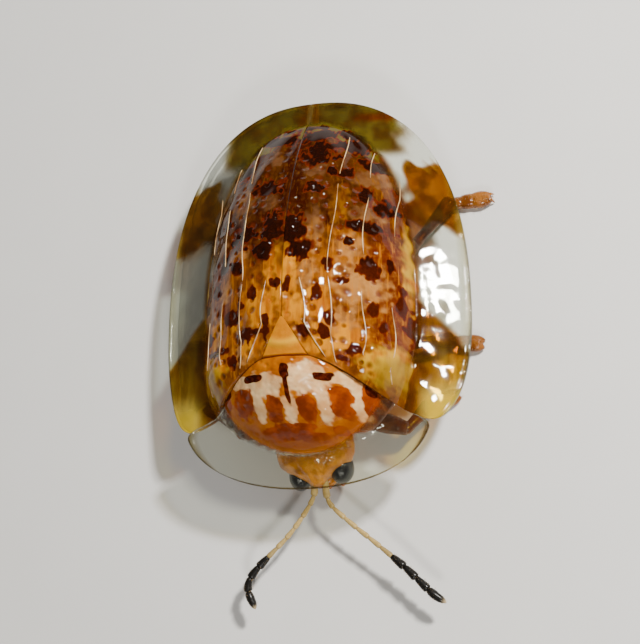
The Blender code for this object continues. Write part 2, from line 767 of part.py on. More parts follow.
def add_leg(name, places, group):
    """One leg in three nodes: thigh, shin and foot."""
    hip, knee, ankle = (Vector(place) for place in places[:3])
    toe = Vector((*places[3], 0.0))
    start, end = shortened(hip, knee, 0.0, SHIN_RADIUS + GAP)
    limb(name + "_thigh", start, end, THIGH_RADIUS, THIGH_SHAPE, group)
    start, end = shortened(knee, ankle, -KNEE_BULGE, ANKLE_GAP)
    limb(name + "_shin", start, end, SHIN_RADIUS, SHIN_SHAPE, group)
    add_foot(name + "_foot", ankle, toe, group)


def stand_on_origin(group):
    """Moves everything so that the origin is under the middle of the model's box."""
    corners = [v.co for made in group.objects for v in made.data.vertices]
    low = Vector(min(c[i] for c in corners) for i in range(3))
    high = Vector(max(c[i] for c in corners) for i in range(3))
    shift = Vector((-(low.x + high.x) / 2, -(low.y + high.y) / 2, -low.z))
    for made in group.objects:
        made.data.transform(Matrix.Translation(shift))
    print("the model moved by", [round(s / MM, 4) for s in shift], "mm")


def main():
    clear_scene()
    group = bpy.data.collections.new("tortoise_beetle")
    bpy.context.scene.collection.children.link(group)
    add_wing_cases(group)
    add_pronotum(group)
    add_scutellum(group)
    add_trunk(group)
    add_head(group)
    add_feeler("feeler_left", LEFT_FEELER, group)
    add_feeler("feeler_right", RIGHT_FEELER, group)
    for name, places in LEGS.items():
        add_leg("leg_" + name, places, group)
    stand_on_origin(group)


main()
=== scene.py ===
import math
import random

import bmesh
import bpy
import numpy as np
from mathutils import Matrix, Vector


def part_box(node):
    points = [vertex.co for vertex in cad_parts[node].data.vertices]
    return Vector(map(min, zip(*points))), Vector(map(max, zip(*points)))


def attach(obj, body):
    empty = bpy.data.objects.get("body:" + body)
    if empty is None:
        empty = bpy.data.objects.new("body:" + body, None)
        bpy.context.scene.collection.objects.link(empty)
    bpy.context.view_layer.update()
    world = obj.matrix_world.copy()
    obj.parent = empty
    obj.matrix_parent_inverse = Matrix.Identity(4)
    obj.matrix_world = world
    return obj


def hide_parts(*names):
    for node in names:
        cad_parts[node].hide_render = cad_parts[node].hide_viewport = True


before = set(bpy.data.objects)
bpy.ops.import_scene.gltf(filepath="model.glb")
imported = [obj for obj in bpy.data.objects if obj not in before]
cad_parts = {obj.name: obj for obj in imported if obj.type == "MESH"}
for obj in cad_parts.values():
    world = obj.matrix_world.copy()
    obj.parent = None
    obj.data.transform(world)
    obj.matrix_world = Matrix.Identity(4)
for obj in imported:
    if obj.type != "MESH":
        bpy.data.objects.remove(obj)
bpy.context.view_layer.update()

# The two wing cases are hardened fore wings of amber chitin, hinged under the pronotum and meeting
# down the middle line. Each is a dome with pits in rows and fine pale ridges, and its wide flat
# margin is as clear as glass but for an amber lobe at the shoulder and an amber bar near the tail.
MM = 0.001
SIDES = {"left": 1.0, "right": -1.0}
SHELL_TO_ORIGIN = np.array((-0.2041, 1.2344, 0.0))
# The disc is the dome over the body; the margin is all that lies beyond it
DOME_TOP_Y = -0.7
DISC_HALF = 2.45
DISC_REAR = 4.65
DISC_FRONT = 4.0
DISC_EDGE_Z = 1.7
DOME_RISE = 1.85
ROUNDNESS = 2.2
DOME_FULLNESS = 0.88
SIDE_FALL = 0.45
TAIL_FALL = 0.7
SHOULDER_FALL = -0.6
# The bump at each shoulder
CALLUS = (1.95, -2.05)
CALLUS_RISE = 0.3
CALLUS_RADIUS = 0.5
HALF_WIDTH = 3.57
WIDEST_Y = -0.8
TAIL_Y = 4.5
TAIL_SQUARENESS = 2.45
SHOULDER_TIP = (2.77, -3.12)
REAR_CORNER = math.radians(52)
SCUTELLUM_BASE_Y = -1.95
SCUTELLUM_TIP_Y = -1.1
SCUTELLUM_HALF = 0.46
SEAM = 0.014
DISC_THICKNESS = 0.36
MARGIN_THICKNESS = 0.11
RIM_THICKNESS = 0.07
# How far from the middle line to the rim each pale ridge runs, at the base, at the shoulder, at a
# third of the length and at the tail
RIDGE_STATIONS = (0.0, 0.14, 0.35, 1.0)
RIDGES = (
    (0.17, 0.13, 0.08, 0.10),
    (0.24, 0.29, 0.23, 0.24),
    (0.46, 0.46, 0.39, 0.40),
    (0.62, 0.61, 0.54, 0.54),
)
# The stretches of each ridge that stand up and shine, as shares of the wing case's length
RIDGE_STRETCHES = (
    ((0.02, 0.27),),
    ((0.02, 0.3), (0.31, 0.62), (0.66, 0.84)),
    ((0.12, 0.3), (0.4, 0.6), (0.68, 0.8)),
    ((0.08, 0.14), (0.17, 0.3), (0.5, 0.72)),
)
# Where the rows of pits run, as shares from the middle line to the rim
PIT_ROWS = (0.045, 0.125, 0.18, 0.28, 0.335, 0.44, 0.49, 0.56)
PIT_SPACING = 0.042
PIT_RADIUS = 0.085
PIT_DEPTH = 0.042
RIDGE_LINE_RADIUS = 0.0115
MARGIN_CROWN = 0.02
MARGIN_REACH = 0.44
# The shoulder lobe's rear edge: where it leaves the disc, how it slants to the rim, and its length
LOBE_EDGE = (-0.4, -1.1)
LOBE_LENGTH = 1.8
# The amber bar across the margin near the tail: its middle, its half width and length, its slant
BAR = ((2.86, 1.95), (0.62, 0.74), 0.25)
# The shoulder lobe's swelling: its middle, its half width and length, and its height
SHOULDER_SWELL = ((2.75, -2.8), (0.5, 0.55), 0.12)
CREST_WIDTH = 0.055
CREST_RISE = 0.025
DISC_GROOVE = 0.04
RIM_BEAD = 0.03
# The mesh is finest over the disc: columns on it and beyond it, the disc's share, and rows
DISC_COLUMNS = 136
MARGIN_COLUMNS = 25
DISC_SHARE = 0.72
WING_ROWS = 400
# Markings of each wing case: distance from the middle line, place along, half width, half length
DARK_MARKS = {
    "left": (
        (0.39, 3.4, 0.46, 0.2), (1.25, 3.45, 0.5, 0.18), (0.3, 3.72, 0.3, 0.08),
        (0.5, 2.85, 0.36, 0.34), (1.2, 3.1, 0.34, 0.24), (1.78, 2.6, 0.42, 0.19),
        (1.55, 1.75, 0.14, 0.25), (1.95, 1.5, 0.19, 0.18), (1.6, 0.95, 0.36, 0.15),
        (0.55, 1.9, 0.2, 0.15), (0.95, 0.0, 0.11, 0.13), (1.66, 0.0, 0.19, 0.22),
        (0.37, 0.35, 0.25, 0.22), (0.17, 0.84, 0.26, 0.4), (0.71, -0.64, 0.1, 0.18),
        (0.44, -1.44, 0.13, 0.11), (0.87, -1.44, 0.11, 0.15), (0.96, -1.2, 0.09, 0.18),
        (1.77, -0.95, 0.1, 0.14), (1.41, -1.8, 0.15, 0.11), (0.12, -0.43, 0.09, 0.14),
        (2.42, -1.2, 0.12, 0.42), (1.2, -0.35, 0.13, 0.07), (1.3, 0.55, 0.08, 0.1),
        (1.15, 2.3, 0.12, 0.16), (2.25, -0.7, 0.08, 0.35), (2.05, 0.1, 0.06, 0.2),
        (0.85, 2.35, 0.1, 0.12), (2.1, 2.1, 0.12, 0.18), (1.15, -2.0, 0.1, 0.06),
        (2.38, 1.6, 0.1, 0.4), (1.95, -1.3, 0.08, 0.16),
    ),
    "right": (
        (0.57, 3.45, 0.48, 0.24), (1.3, 3.4, 0.42, 0.18), (0.55, 2.02, 0.36, 0.2),
        (0.27, 0.92, 0.23, 0.42), (0.48, 0.44, 0.22, 0.26), (0.16, -0.42, 0.11, 0.16),
        (0.7, -0.5, 0.11, 0.15), (1.3, -0.98, 0.22, 0.17), (0.88, -1.42, 0.17, 0.15),
        (0.56, -1.38, 0.15, 0.06), (0.37, -1.33, 0.08, 0.21), (2.45, -0.37, 0.3, 0.2),
        (2.6, -0.95, 0.17, 0.14), (1.66, -1.62, 0.32, 0.09), (1.28, -1.9, 0.11, 0.18),
        (1.05, 0.85, 0.35, 0.22), (1.55, 0.35, 0.15, 0.3), (1.85, -0.2, 0.12, 0.24),
        (1.15, 0.15, 0.13, 0.2), (1.35, 2.7, 0.22, 0.25), (1.95, 1.6, 0.14, 0.4),
        (1.0, -0.75, 0.08, 0.1), (2.05, -1.25, 0.12, 0.12), (1.6, 1.3, 0.12, 0.18),
        (2.2, 0.6, 0.12, 0.4),
    ),
}
HAZE_MARKS = {
    "left": (
        (1.53, -0.4, 0.46, 0.5), (1.33, 0.47, 0.24, 0.26), (1.56, 1.28, 0.3, 0.16),
        (1.6, 2.2, 0.35, 0.2), (0.62, 0.9, 0.16, 0.5), (1.2, -1.25, 0.28, 0.35),
        (0.5, -0.2, 0.2, 0.35), (0.5, 2.4, 0.25, 0.2),
    ),
    "right": (
        (0.5, 2.8, 0.14, 0.2), (0.45, 1.6, 0.2, 0.2), (1.05, 1.75, 0.25, 0.35),
        (1.45, -0.35, 0.2, 0.2), (0.95, -1.8, 0.25, 0.2), (1.0, 0.45, 0.15, 0.15),
        (1.7, 0.9, 0.15, 0.25), (0.75, -0.95, 0.15, 0.25),
    ),
}
GOLD_MARKS = {
    "left": (
        (0.1, -0.1, 0.22, 0.75), (1.98, -2.05, 0.42, 0.3), (0.3, -1.0, 0.25, 0.3),
        (2.36, 0.8, 0.1, 1.1), (0.8, -1.75, 0.45, 0.2), (1.09, 1.5, 0.17, 0.5),
        (1.3, -1.5, 0.3, 0.2), (0.75, -0.9, 0.2, 0.4),
    ),
    "right": (
        (0.14, -0.15, 0.2, 0.75), (0.55, -0.85, 0.35, 0.45), (2.2, -2.0, 0.45, 0.32),
        (1.58, -1.94, 0.16, 0.14), (1.1, -1.15, 0.2, 0.2), (0.8, -1.65, 0.3, 0.2),
        (1.85, -1.2, 0.25, 0.3), (1.2, 1.75, 0.2, 0.3),
    ),
}
# Where each wing case's darker hind part starts, and how much lighter its outer flank is.
# The darkening is partly the hind part's smoky colour and partly painted shade: the painted shade
# starts further forward on the right wing case, and the left one's outer flank is painted lighter,
# as if lit.
SHADE_STARTS = {"left": (0.45, 0.4), "right": (0.1, 0.0)}
YELLOW_MARKS = ((2.05, -2.15, 0.4, 0.34), (2.38, 0.75, 0.1, 1.0), (2.36, 2.35, 0.08, 0.4))
RUST_MARKS = {
    "left": (
        (1.98, 0.45, 0.32, 0.6), (2.1, -0.6, 0.3, 0.7), (0.12, 2.6, 0.15, 2.2),
        (1.65, 4.02, 0.6, 0.1), (2.2, 1.75, 0.26, 0.6), (1.75, 2.85, 0.4, 0.16),
        (0.3, 1.5, 0.2, 0.4), (2.0, -1.6, 0.3, 0.25), (0.95, 1.1, 0.2, 0.3),
    ),
    "right": (
        (0.12, 2.6, 0.15, 2.2), (1.08, 0.87, 0.5, 0.42), (0.55, 1.2, 0.25, 0.3),
        (1.9, 0.2, 0.3, 0.5), (1.6, -0.7, 0.3, 0.3), (2.3, -1.2, 0.25, 0.3), (1.5, 2.0, 0.3, 0.4),
        (0.95, 3.0, 0.2, 0.3),
    ),
}


def bezier(points, t):
    """Points of the cubic curve with these four control points, as x and y."""
    weights = ((1 - t) ** 3, 3 * t * (1 - t) ** 2, 3 * t * t * (1 - t), t**3)
    return tuple(sum(w * p[i] for w, p in zip(weights, points)) for i in (0, 1))


def dome_reach(x, y):
    """How far out a point lies across, along and in all: 1 at the disc's edge, more on the margin."""
    length = np.where(y > DOME_TOP_Y, DISC_REAR, DISC_FRONT)
    across = np.abs(x / DISC_HALF) ** ROUNDNESS
    along = np.abs((y - DOME_TOP_Y) / length) ** ROUNDNESS
    return across, along, (across + along) ** (1 / ROUNDNESS)


def wing_height(x, y):
    """The wing cases' smooth upper surface: a dome, a falling margin and a bump at each shoulder."""
    across, along, reach = dome_reach(x, y)
    dome = DISC_EDGE_Z + DOME_RISE * np.clip(1 - reach**2, 0, None) ** DOME_FULLNESS
    end_fall = np.where(y > DOME_TOP_Y, TAIL_FALL, SHOULDER_FALL)
    fall = (SIDE_FALL * across + end_fall * along) / np.maximum(across + along, 1e-9)
    margin = DISC_EDGE_Z - fall * DISC_HALF * (reach - 1)
    away = np.hypot(np.abs(x) - CALLUS[0], y - CALLUS[1]) / CALLUS_RADIUS
    crown = MARGIN_CROWN * np.sin(math.pi * np.clip((reach - 1) / MARGIN_REACH, 0, 1))
    return np.where(reach < 1, dome, margin + crown) + CALLUS_RISE * hump(away)


def wing_base(t):
    """The front edge, from the scutellum to the shoulder tip."""
    start = (SCUTELLUM_HALF + 0.07, SCUTELLUM_BASE_Y)
    return bezier((start, (1.3, SCUTELLUM_BASE_Y - 0.2), (2.2, SHOULDER_TIP[1]), SHOULDER_TIP), t)


def wing_outline(turn):
    """The rim: turn 0 at the tail, a quarter turn where the shell is widest."""
    power = 2 / TAIL_SQUARENESS
    x = HALF_WIDTH * np.clip(np.sin(turn), 0, None) ** power
    return x, WIDEST_Y + (TAIL_Y - WIDEST_Y) * np.clip(np.cos(turn), 0, None) ** power


def wing_side(t):
    """The rim from the shoulder tip round to the rear corner."""
    front_share = 0.38
    turn = math.pi / 2 * np.clip(t / front_share, 0, 1)
    front_x = SHOULDER_TIP[0] + (HALF_WIDTH - SHOULDER_TIP[0]) * np.sin(turn)
    front_y = WIDEST_Y - (WIDEST_Y - SHOULDER_TIP[1]) * np.cos(turn)
    share = np.clip((t - front_share) / (1 - front_share), 0, 1)
    rear_x, rear_y = wing_outline(math.pi / 2 + share * (REAR_CORNER - math.pi / 2))
    return np.where(t < front_share, front_x, rear_x), np.where(t < front_share, front_y, rear_y)


def wing_tail(t):
    """The rim from the tip of the tail to the rear corner."""
    x, y = wing_outline(t * REAR_CORNER)
    return np.maximum(x, SEAM / 2), y


def wing_suture(t):
    """The inner edge, round the scutellum and down the middle line."""
    y = SCUTELLUM_BASE_Y + t * (TAIL_Y - SCUTELLUM_BASE_Y)
    notch = np.clip((SCUTELLUM_TIP_Y - y) / (SCUTELLUM_TIP_Y - SCUTELLUM_BASE_Y), 0, None)
    return SEAM / 2 + (SCUTELLUM_HALF + 0.07 - SEAM / 2) * notch, y


def patch(across, along, front, rear, inner, outer):
    """The points of the patch between four edges, at shares across and along."""
    corners = [edge(np.array(float(end))) for edge in (front, rear) for end in (0, 1)]
    place = []
    for i in (0, 1):
        ruled = (1 - along) * front(across)[i] + along * rear(across)[i]
        ruled += (1 - across) * inner(along)[i] + across * outer(along)[i]
        square = (1 - along) * ((1 - across) * corners[0][i] + across * corners[1][i])
        square += along * ((1 - across) * corners[2][i] + across * corners[3][i])
        place.append(ruled - square)
    return place


def ease(low, high, value):
    """0 below low, 1 above high, and smooth between them."""
    t = np.clip((value - low) / (high - low), 0, 1)
    return t * t * (3 - 2 * t)


def hump(value, width=1.0):
    """1 where the value is 0, falling to nothing at about twice the width on both sides."""
    return np.exp(-((value / width) ** 2))


def ridge_line(ridge, along):
    """The share across at which a ridge runs."""
    line = np.full_like(along, ridge[0])
    for left, right, low, high in zip(RIDGE_STATIONS, RIDGE_STATIONS[1:], ridge, ridge[1:]):
        line += (high - low) * ease(left, right, along)
    return line


def ripple(x, y, seed, size):
    """A smooth, irregular field between about -1 and 1, whose waves are about size millimetres long."""
    chance = random.Random(seed)
    total = np.zeros_like(x)
    for _ in range(7):
        turn, phase = chance.uniform(0, math.pi), chance.uniform(0, 2 * math.pi)
        wave = 2 * math.pi / (size * chance.uniform(0.6, 1.6))
        total += np.sin(wave * (x * math.cos(turn) + y * math.sin(turn)) + phase)
    return total / 3


def markings(marks, x, y, seed, roughness, softness, squareness=2.0):
    """How strongly each point is covered by soft-edged, irregular marks."""
    cover = np.zeros_like(x)
    rough = (ripple(x, y, seed, 0.3) + 0.5 * ripple(x, y, seed + 1, 0.14)) * roughness
    for cx, cy, half_x, half_y in marks:
        reach = np.abs((x - cx) / half_x) ** squareness + np.abs((y - cy) / half_y) ** squareness
        reach = reach ** (1 / squareness) + rough
        cover = np.maximum(cover, ease(1 + softness, 1 - softness, reach))
    return cover


def grid_faces(rows, columns, first=0, closed=False):
    """Four-sided faces between the points of a grid, row by row, joined round where it is closed."""
    wide = columns if closed else columns - 1
    row, column = np.mgrid[0 : rows - 1, 0:wide]
    a = row * columns + column
    b = row * columns + (column + 1) % columns
    return (first + np.stack((a, b, b + columns, a + columns), -1).reshape(-1, 4)).tolist()


def capped_faces(rings, sides):
    """Faces of a closed form of rings of points, with one more point at each end."""
    first, last, end = rings * sides, rings * sides + 1, (rings - 1) * sides
    faces = grid_faces(rings, sides, closed=True)
    faces += [[(i + 1) % sides, i, first] for i in range(sides)]
    return faces + [[end + i, end + (i + 1) % sides, last] for i in range(sides)]


def leaf_faces(rows, columns, skip=8):
    """Faces of a closed sheet: a fine upper grid, a lower one with fewer columns, and the edges."""
    few = (columns - 1) // skip + 1
    count = rows * columns
    faces = grid_faces(rows, columns)
    faces += [face[::-1] for face in grid_faces(rows, few, count)]
    for row in range(rows - 1):
        for column, low in ((0, 0), (columns - 1, few - 1)):
            a, b = row * columns + column, (row + 1) * columns + column
            faces.append([b, a, count + row * few + low, count + (row + 1) * few + low])
    for row in (0, rows - 1):
        for step in range(few - 1):
            above = [row * columns + step * skip + i for i in range(skip + 1)]
            faces.append(above + [count + row * few + step + 1, count + row * few + step])
    return faces


def leaf_points(x, y, top, low, skip=8):
    """The points that leaf_faces joins: all of the upper ones, and the lower ones that it needs."""
    upper = np.stack((x, y, top), -1).reshape(-1, 3)
    lower = np.stack((x, y, low), -1)[:, ::skip].reshape(-1, 3)
    return np.concatenate((upper, lower))


def leaf_values(values, skip=8):
    """The same for the numbers that the points carry."""
    return {key: np.concatenate((v.ravel(), v[:, ::skip].ravel())) for key, v in values.items()}


def placed(name, data):
    """A new object in the scene."""
    made = bpy.data.objects.new(name, data)
    bpy.context.scene.collection.objects.link(made)
    return made


def finished(name, points, faces, material, slot, nodes, values=None):
    """A piece of the beetle, from points in millimetres and the values that they carry."""
    mesh = bpy.data.meshes.new(name)
    mesh.from_pydata(((np.asarray(points) + SHELL_TO_ORIGIN) * MM).tolist(), [], faces)
    work = bmesh.new()
    work.from_mesh(mesh)
    bmesh.ops.recalc_face_normals(work, faces=work.faces)
    work.to_mesh(mesh)
    work.free()
    for key, value in (values or {}).items():
        layer = mesh.attributes.new(key, "FLOAT", "POINT")
        layer.data.foreach_set("value", np.asarray(value, np.float32).ravel())
    mesh.shade_smooth()
    mesh.materials.append(material)
    piece = placed(name, mesh)
    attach(piece, "root")
    if nodes:
        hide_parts(*nodes)
    return piece


class Paint:
    """A material's node tree, with short calls for the nodes that the finishes use."""

    def __init__(self, name):
        self.material = bpy.data.materials.new(name)
        self.material.use_nodes = True
        self.tree = self.material.node_tree
        self.tree.nodes.clear()
        self.out = self.tree.nodes.new("ShaderNodeOutputMaterial")

    def feed(self, socket, value):
        """Links an output, or sets a number or a colour."""
        if isinstance(value, bpy.types.NodeSocket):
            self.tree.links.new(value, socket)
        elif isinstance(value, tuple) and len(value) == 3 and socket.type == "RGBA":
            socket.default_value = (*value, 1.0)
        else:
            socket.default_value = value

    def node(self, kind, **inputs):
        """The first output of a new node with these inputs."""
        made = self.tree.nodes.new("ShaderNode" + kind)
        for key, value in inputs.items():
            self.feed(made.inputs[key.replace("_", " ")], value)
        return made.outputs[0]

    def value(self, name):
        """A number kept on the mesh's points."""
        made = self.tree.nodes.new("ShaderNodeAttribute")
        made.attribute_name = name
        return made.outputs["Fac"]

    def place(self, *stretch):
        """Object coordinates in millimetres, each times its stretch."""
        spot = self.tree.nodes.new("ShaderNodeTexCoord").outputs["Object"]
        size = tuple(share / MM for share in stretch or (1.0, 1.0, 1.0))
        return self.node("Mapping", Vector=spot, Scale=size)

    def noise(self, scale, detail=3.0, place=None):
        """Noise from 0 to 1, with scale patches to the millimetre."""
        return self.node("TexNoise", Vector=place or self.place(), Scale=scale, Detail=detail)

    def maths(self, kind, a, b):
        made = self.tree.nodes.new("ShaderNodeMath")
        made.operation = kind
        self.feed(made.inputs[0], a)
        self.feed(made.inputs[1], b)
        return made.outputs[0]

    def plus(self, a, b):
        return self.maths("ADD", a, b)

    def times(self, a, b):
        return self.maths("MULTIPLY", a, b)

    def ramp(self, value, low, high, start=0.0, end=1.0):
        """The value stretched from low..high to start..end, smoothly and no further."""
        made = self.tree.nodes.new("ShaderNodeMapRange")
        made.interpolation_type = "SMOOTHSTEP"
        for socket, number in zip(made.inputs, (value, low, high, start, end)):
            self.feed(socket, number)
        return made.outputs[0]

    def broken(self, name, shift, low, high):
        """A marking whose edge is broken up by a noise."""
        return self.ramp(self.plus(self.value(name), shift), low, high)

    def mix(self, share, a, b, kind="MIX"):
        """Two colours mixed by a share."""
        made = self.tree.nodes.new("ShaderNodeMix")
        made.data_type = "RGBA"
        made.blend_type = kind
        for socket, given in zip((made.inputs[0], made.inputs[6], made.inputs[7]), (share, a, b)):
            self.feed(socket, given)
        return made.outputs[2]

    def mottled(self, noise, low, high, a, b):
        """Colour a where the noise is below low, b where it is above high."""
        return self.mix(self.ramp(noise, low, high), a, b)

    def bump(self, height, strength, depth):
        """A relief of that height, depth millimetres deep."""
        return self.node("Bump", Height=height, Strength=strength, Distance=depth * MM)

    def surface(self, colour, roughness, **inputs):
        return self.node("BsdfPrincipled", Base_Color=colour, Roughness=roughness, **inputs)

    def blend(self, share, first, second):
        """Two shaders mixed by a share."""
        made = self.tree.nodes.new("ShaderNodeMixShader")
        for socket, given in zip(made.inputs, (share, first, second)):
            self.feed(socket, given)
        return made.outputs[0]

    def lacquer(self, colour, normal, depth):
        """Deep-coloured chitin under a clear, glossy skin, with a little light passing below it."""
        return self.surface(
            colour, 0.5, Normal=normal, Coat_Weight=0.5, Coat_Roughness=0.04, Coat_IOR=1.45,
            Specular_IOR_Level=0.0, Subsurface_Weight=depth, Subsurface_Scale=0.00015,
        )

    def glass(self, tint, normal, cloud, milk):
        """Clear chitin: tinted light passes, a little of it is clouded, and the surface shines."""
        through = self.node("BsdfTransparent", Color=tint)
        clouded = self.blend(cloud, through, self.node("BsdfDiffuse", Color=milk))
        shine = self.node("BsdfGlossy", Roughness=0.05, Normal=normal, Color=(0.9, 0.9, 0.9))
        share = self.times(self.node("Fresnel", IOR=1.5, Normal=normal), 0.62)
        return self.blend(share, clouded, shine)

    def finish(self, shader):
        self.tree.links.new(shader, self.out.inputs["Surface"])
        return self.material


def wing_chitin():
    """Amber chitin over a mosaic of dark marks, clearing to tinted glass at the margin."""
    paint = Paint("wing_chitin")
    fine = paint.noise(8.0, 4.0)
    broad = paint.noise(2.0)
    grain = paint.noise(18.0)
    streaks = paint.noise(1.0, 4.0, paint.place(6.0, 1.1, 6.0))
    threads = paint.ramp(paint.noise(1.0, 2.0, paint.place(15.0, 0.7, 15.0)), 0.55, 0.72, 0.0, 0.6)
    shift = paint.times(paint.plus(fine, -0.5), 0.95)

    colour = paint.mottled(broad, 0.3, 0.7, (0.1, 0.022, 0.0005), (0.24, 0.066, 0.001))
    colour = paint.mix(paint.ramp(streaks, 0.45, 0.7, 0.0, 0.65), colour, (0.3, 0.08, 0.001))
    rust = paint.mix(streaks, (0.05, 0.004, 0.0), (0.17, 0.022, 0.0))
    haze = paint.mottled(broad, 0.35, 0.65, (0.25, 0.095, 0.02), (0.4, 0.17, 0.04))
    haze = paint.mix(paint.ramp(fine, 0.45, 0.75, 0.0, 0.4), haze, (0.52, 0.26, 0.08))
    gold = paint.mottled(streaks, 0.35, 0.65, (0.34, 0.085, 0.0), (0.62, 0.23, 0.0005))
    for name, layer in (("rust", rust), ("haze", haze), ("gold", gold)):
        colour = paint.mix(paint.broken(name, shift, -0.1, 1.0), colour, layer)
    colour = paint.mix(threads, colour, (0.5, 0.16, 0.002))
    # Painted shade, partly the smoky colour of the hind part: the shade value darkens the colour.
    colour = paint.mix(paint.value("shade"), colour, (0.28, 0.26, 0.36), "MULTIPLY")
    yellow = paint.mix(streaks, (0.4, 0.2, 0.004), (0.62, 0.4, 0.02))
    colour = paint.mix(paint.value("yellow"), colour, yellow)
    olive = paint.mix(streaks, (0.045, 0.032, 0.002), (0.14, 0.1, 0.006))
    colour = paint.mix(paint.broken("olive", shift, 0.2, 0.75), colour, olive)
    colour = paint.mix(paint.times(paint.value("pit"), 0.75), colour, (0.1, 0.012, 0.0))
    colour = paint.mix(paint.broken("dark", shift, 0.1, 0.5), colour, (0.12, 0.012, 0.0))
    blood = paint.mix(grain, (0.02, 0.002, 0.0), (0.075, 0.009, 0.001))
    pitch = paint.mix(grain, (0.005, 0.001, 0.0), (0.026, 0.004, 0.001))
    core = paint.mix(paint.value("black"), blood, pitch)
    colour = paint.mix(paint.broken("dark", shift, 0.3, 0.95), colour, core)
    relief = paint.plus(paint.times(fine, 0.5), paint.times(grain, 0.25))
    disc = paint.lacquer(colour, paint.bump(relief, 0.2, 0.02), 0.08)

    amber = paint.mottled(streaks, 0.35, 0.7, (0.52, 0.31, 0.012), (0.76, 0.53, 0.05))
    brown = paint.mix(streaks, (0.42, 0.18, 0.015), (0.6, 0.34, 0.04))
    moss = paint.mix(streaks, (0.24, 0.19, 0.025), (0.44, 0.37, 0.08))
    for name, layer in (("lobe_dark", brown), ("lobe_tip", (0.98, 0.86, 0.32)), ("olive", moss)):
        amber = paint.mix(paint.value(name), amber, layer)
    rusty = paint.mix(streaks, (0.3, 0.06, 0.002), (0.5, 0.16, 0.006))
    amber = paint.mix(paint.times(paint.value("rust"), 0.8), amber, rusty)
    patchy = paint.times(paint.ramp(broad, 0.42, 0.6), paint.value("lobe_dark"))
    amber = paint.mix(paint.times(patchy, 0.6), amber, (0.2, 0.07, 0.005))
    lobe, tip = paint.value("lobe"), paint.value("lobe_tip")
    tint = paint.mix(lobe, (0.955, 0.975, 0.92), amber)
    tint = paint.mix(paint.value("rim"), tint, (0.5, 0.42, 0.2))
    # Towards the tip the shoulder lobe is clouded with bright yellow: partly its gold colour, partly a
    # painted glow, as of light shining up through it.
    milk = paint.mix(lobe, (0.72, 0.78, 0.62), paint.mix(tip, amber, (0.95, 0.68, 0.03)))
    cloud = paint.plus(paint.plus(paint.times(lobe, 0.06), 0.005), paint.times(tip, 0.28))
    margin = paint.glass(tint, paint.bump(paint.noise(1.6, 1.0), 0.35, 0.1), cloud, milk)
    return paint.finish(paint.blend(paint.value("clear"), disc, margin))


def ridge_finish():
    """The ridges' pale gold lines: partly the ridges' own pale colour, partly a painted highlight along
    their crests.
    """
    paint = Paint("ridge_gold_and_painted_highlight")
    colour = paint.mottled(paint.noise(2.5), 0.35, 0.65, (0.3, 0.13, 0.03), (0.85, 0.58, 0.28))
    return paint.finish(paint.surface(colour, 0.3, Coat_Weight=1.0, Coat_Roughness=0.08))


def bake_modifiers(piece):
    """Turns a piece and its modifiers into a plain mesh."""
    bpy.context.view_layer.update()
    graph = bpy.context.evaluated_depsgraph_get()
    mesh = bpy.data.meshes.new_from_object(piece.evaluated_get(graph), depsgraph=graph)
    piece.modifiers.clear()
    piece.data = mesh


def new_tree(name, inputs):
    """An empty Geometry Nodes tree, its inputs' identifiers by label, and its input node."""
    tree = bpy.data.node_groups.new(name, "GeometryNodeTree")
    tree.interface.new_socket("Geometry", in_out="INPUT", socket_type="NodeSocketGeometry")
    sockets = {}
    for label, kind, default in inputs:
        made = tree.interface.new_socket(label, in_out="INPUT", socket_type="NodeSocket" + kind)
        made.default_value = default
        sockets[label] = made.identifier
    tree.interface.new_socket("Geometry", in_out="OUTPUT", socket_type="NodeSocketGeometry")
    return tree, sockets, tree.nodes.new("NodeGroupInput")


def new_nodes(tree, *kinds):
    return [tree.nodes.new("GeometryNode" + kind) for kind in kinds]


def wire(tree, *wires):
    """Links sockets: each wire gives a node and its output, and a node and its input."""
    for source, output, target, into in wires:
        tree.links.new(source.outputs[output], target.inputs[into])


def end_tree(tree, last, output, material):
    """Realizes the instances, sets the material and ends the tree."""
    realized, painted = new_nodes(tree, "RealizeInstances", "SetMaterial")
    painted.inputs["Material"].default_value = material
    out = tree.nodes.new("NodeGroupOutput")
    wire(
        tree, (last, output, realized, "Geometry"), (realized, "Geometry", painted, "Geometry"),
        (painted, "Geometry", out, "Geometry"),
    )


def run_tree(name, tree, sockets, given, slot, host=None):
    """A plain mesh piece on the body, made by a Geometry Nodes tree from its inputs and a host mesh."""
    piece = placed(name, host or bpy.data.meshes.new(name))
    modifier = piece.modifiers.new("tree", "NODES")
    modifier.node_group = tree
    for label, value in given.items():
        modifier[sockets[label]] = value
    bake_modifiers(piece)
    piece.data.shade_smooth()
    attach(piece, "root")
    return piece


def ridge_tree(material):
    """Geometry nodes: a fine round line along each path, which thins to nothing at both ends."""
    inputs = (("Radius", "Float", 0.001), ("Sides", "Int", 6))
    tree, sockets, given = new_tree("ridge_lines", inputs)
    path, along, thick = new_nodes(tree, "MeshToCurve", "SplineParameter", "SetCurveRadius")
    ring, solid = new_nodes(tree, "CurvePrimitiveCircle", "CurveToMesh")
    taper = tree.nodes.new("ShaderNodeFloatCurve")
    curve = taper.mapping.curves[0]
    for point, at in zip(curve.points, (0.0, 1.0)):
        point.location = (at, 0.15)
    for at in (0.12, 0.85):
        curve.points.new(at, 1.0)
    solid.inputs["Fill Caps"].default_value = True
    wire(
        tree, (given, "Geometry", path, "Mesh"), (path, "Curve", thick, "Curve"),
        (along, "Factor", taper, "Value"), (taper, 0, thick, "Radius"), (taper, 0, solid, "Scale"),
        (given, "Radius", ring, "Radius"), (given, "Sides", ring, "Resolution"),
        (thick, "Curve", solid, "Curve"), (ring, "Curve", solid, "Profile Curve"),
    )
    end_tree(tree, solid, "Mesh", material)
    return tree, sockets


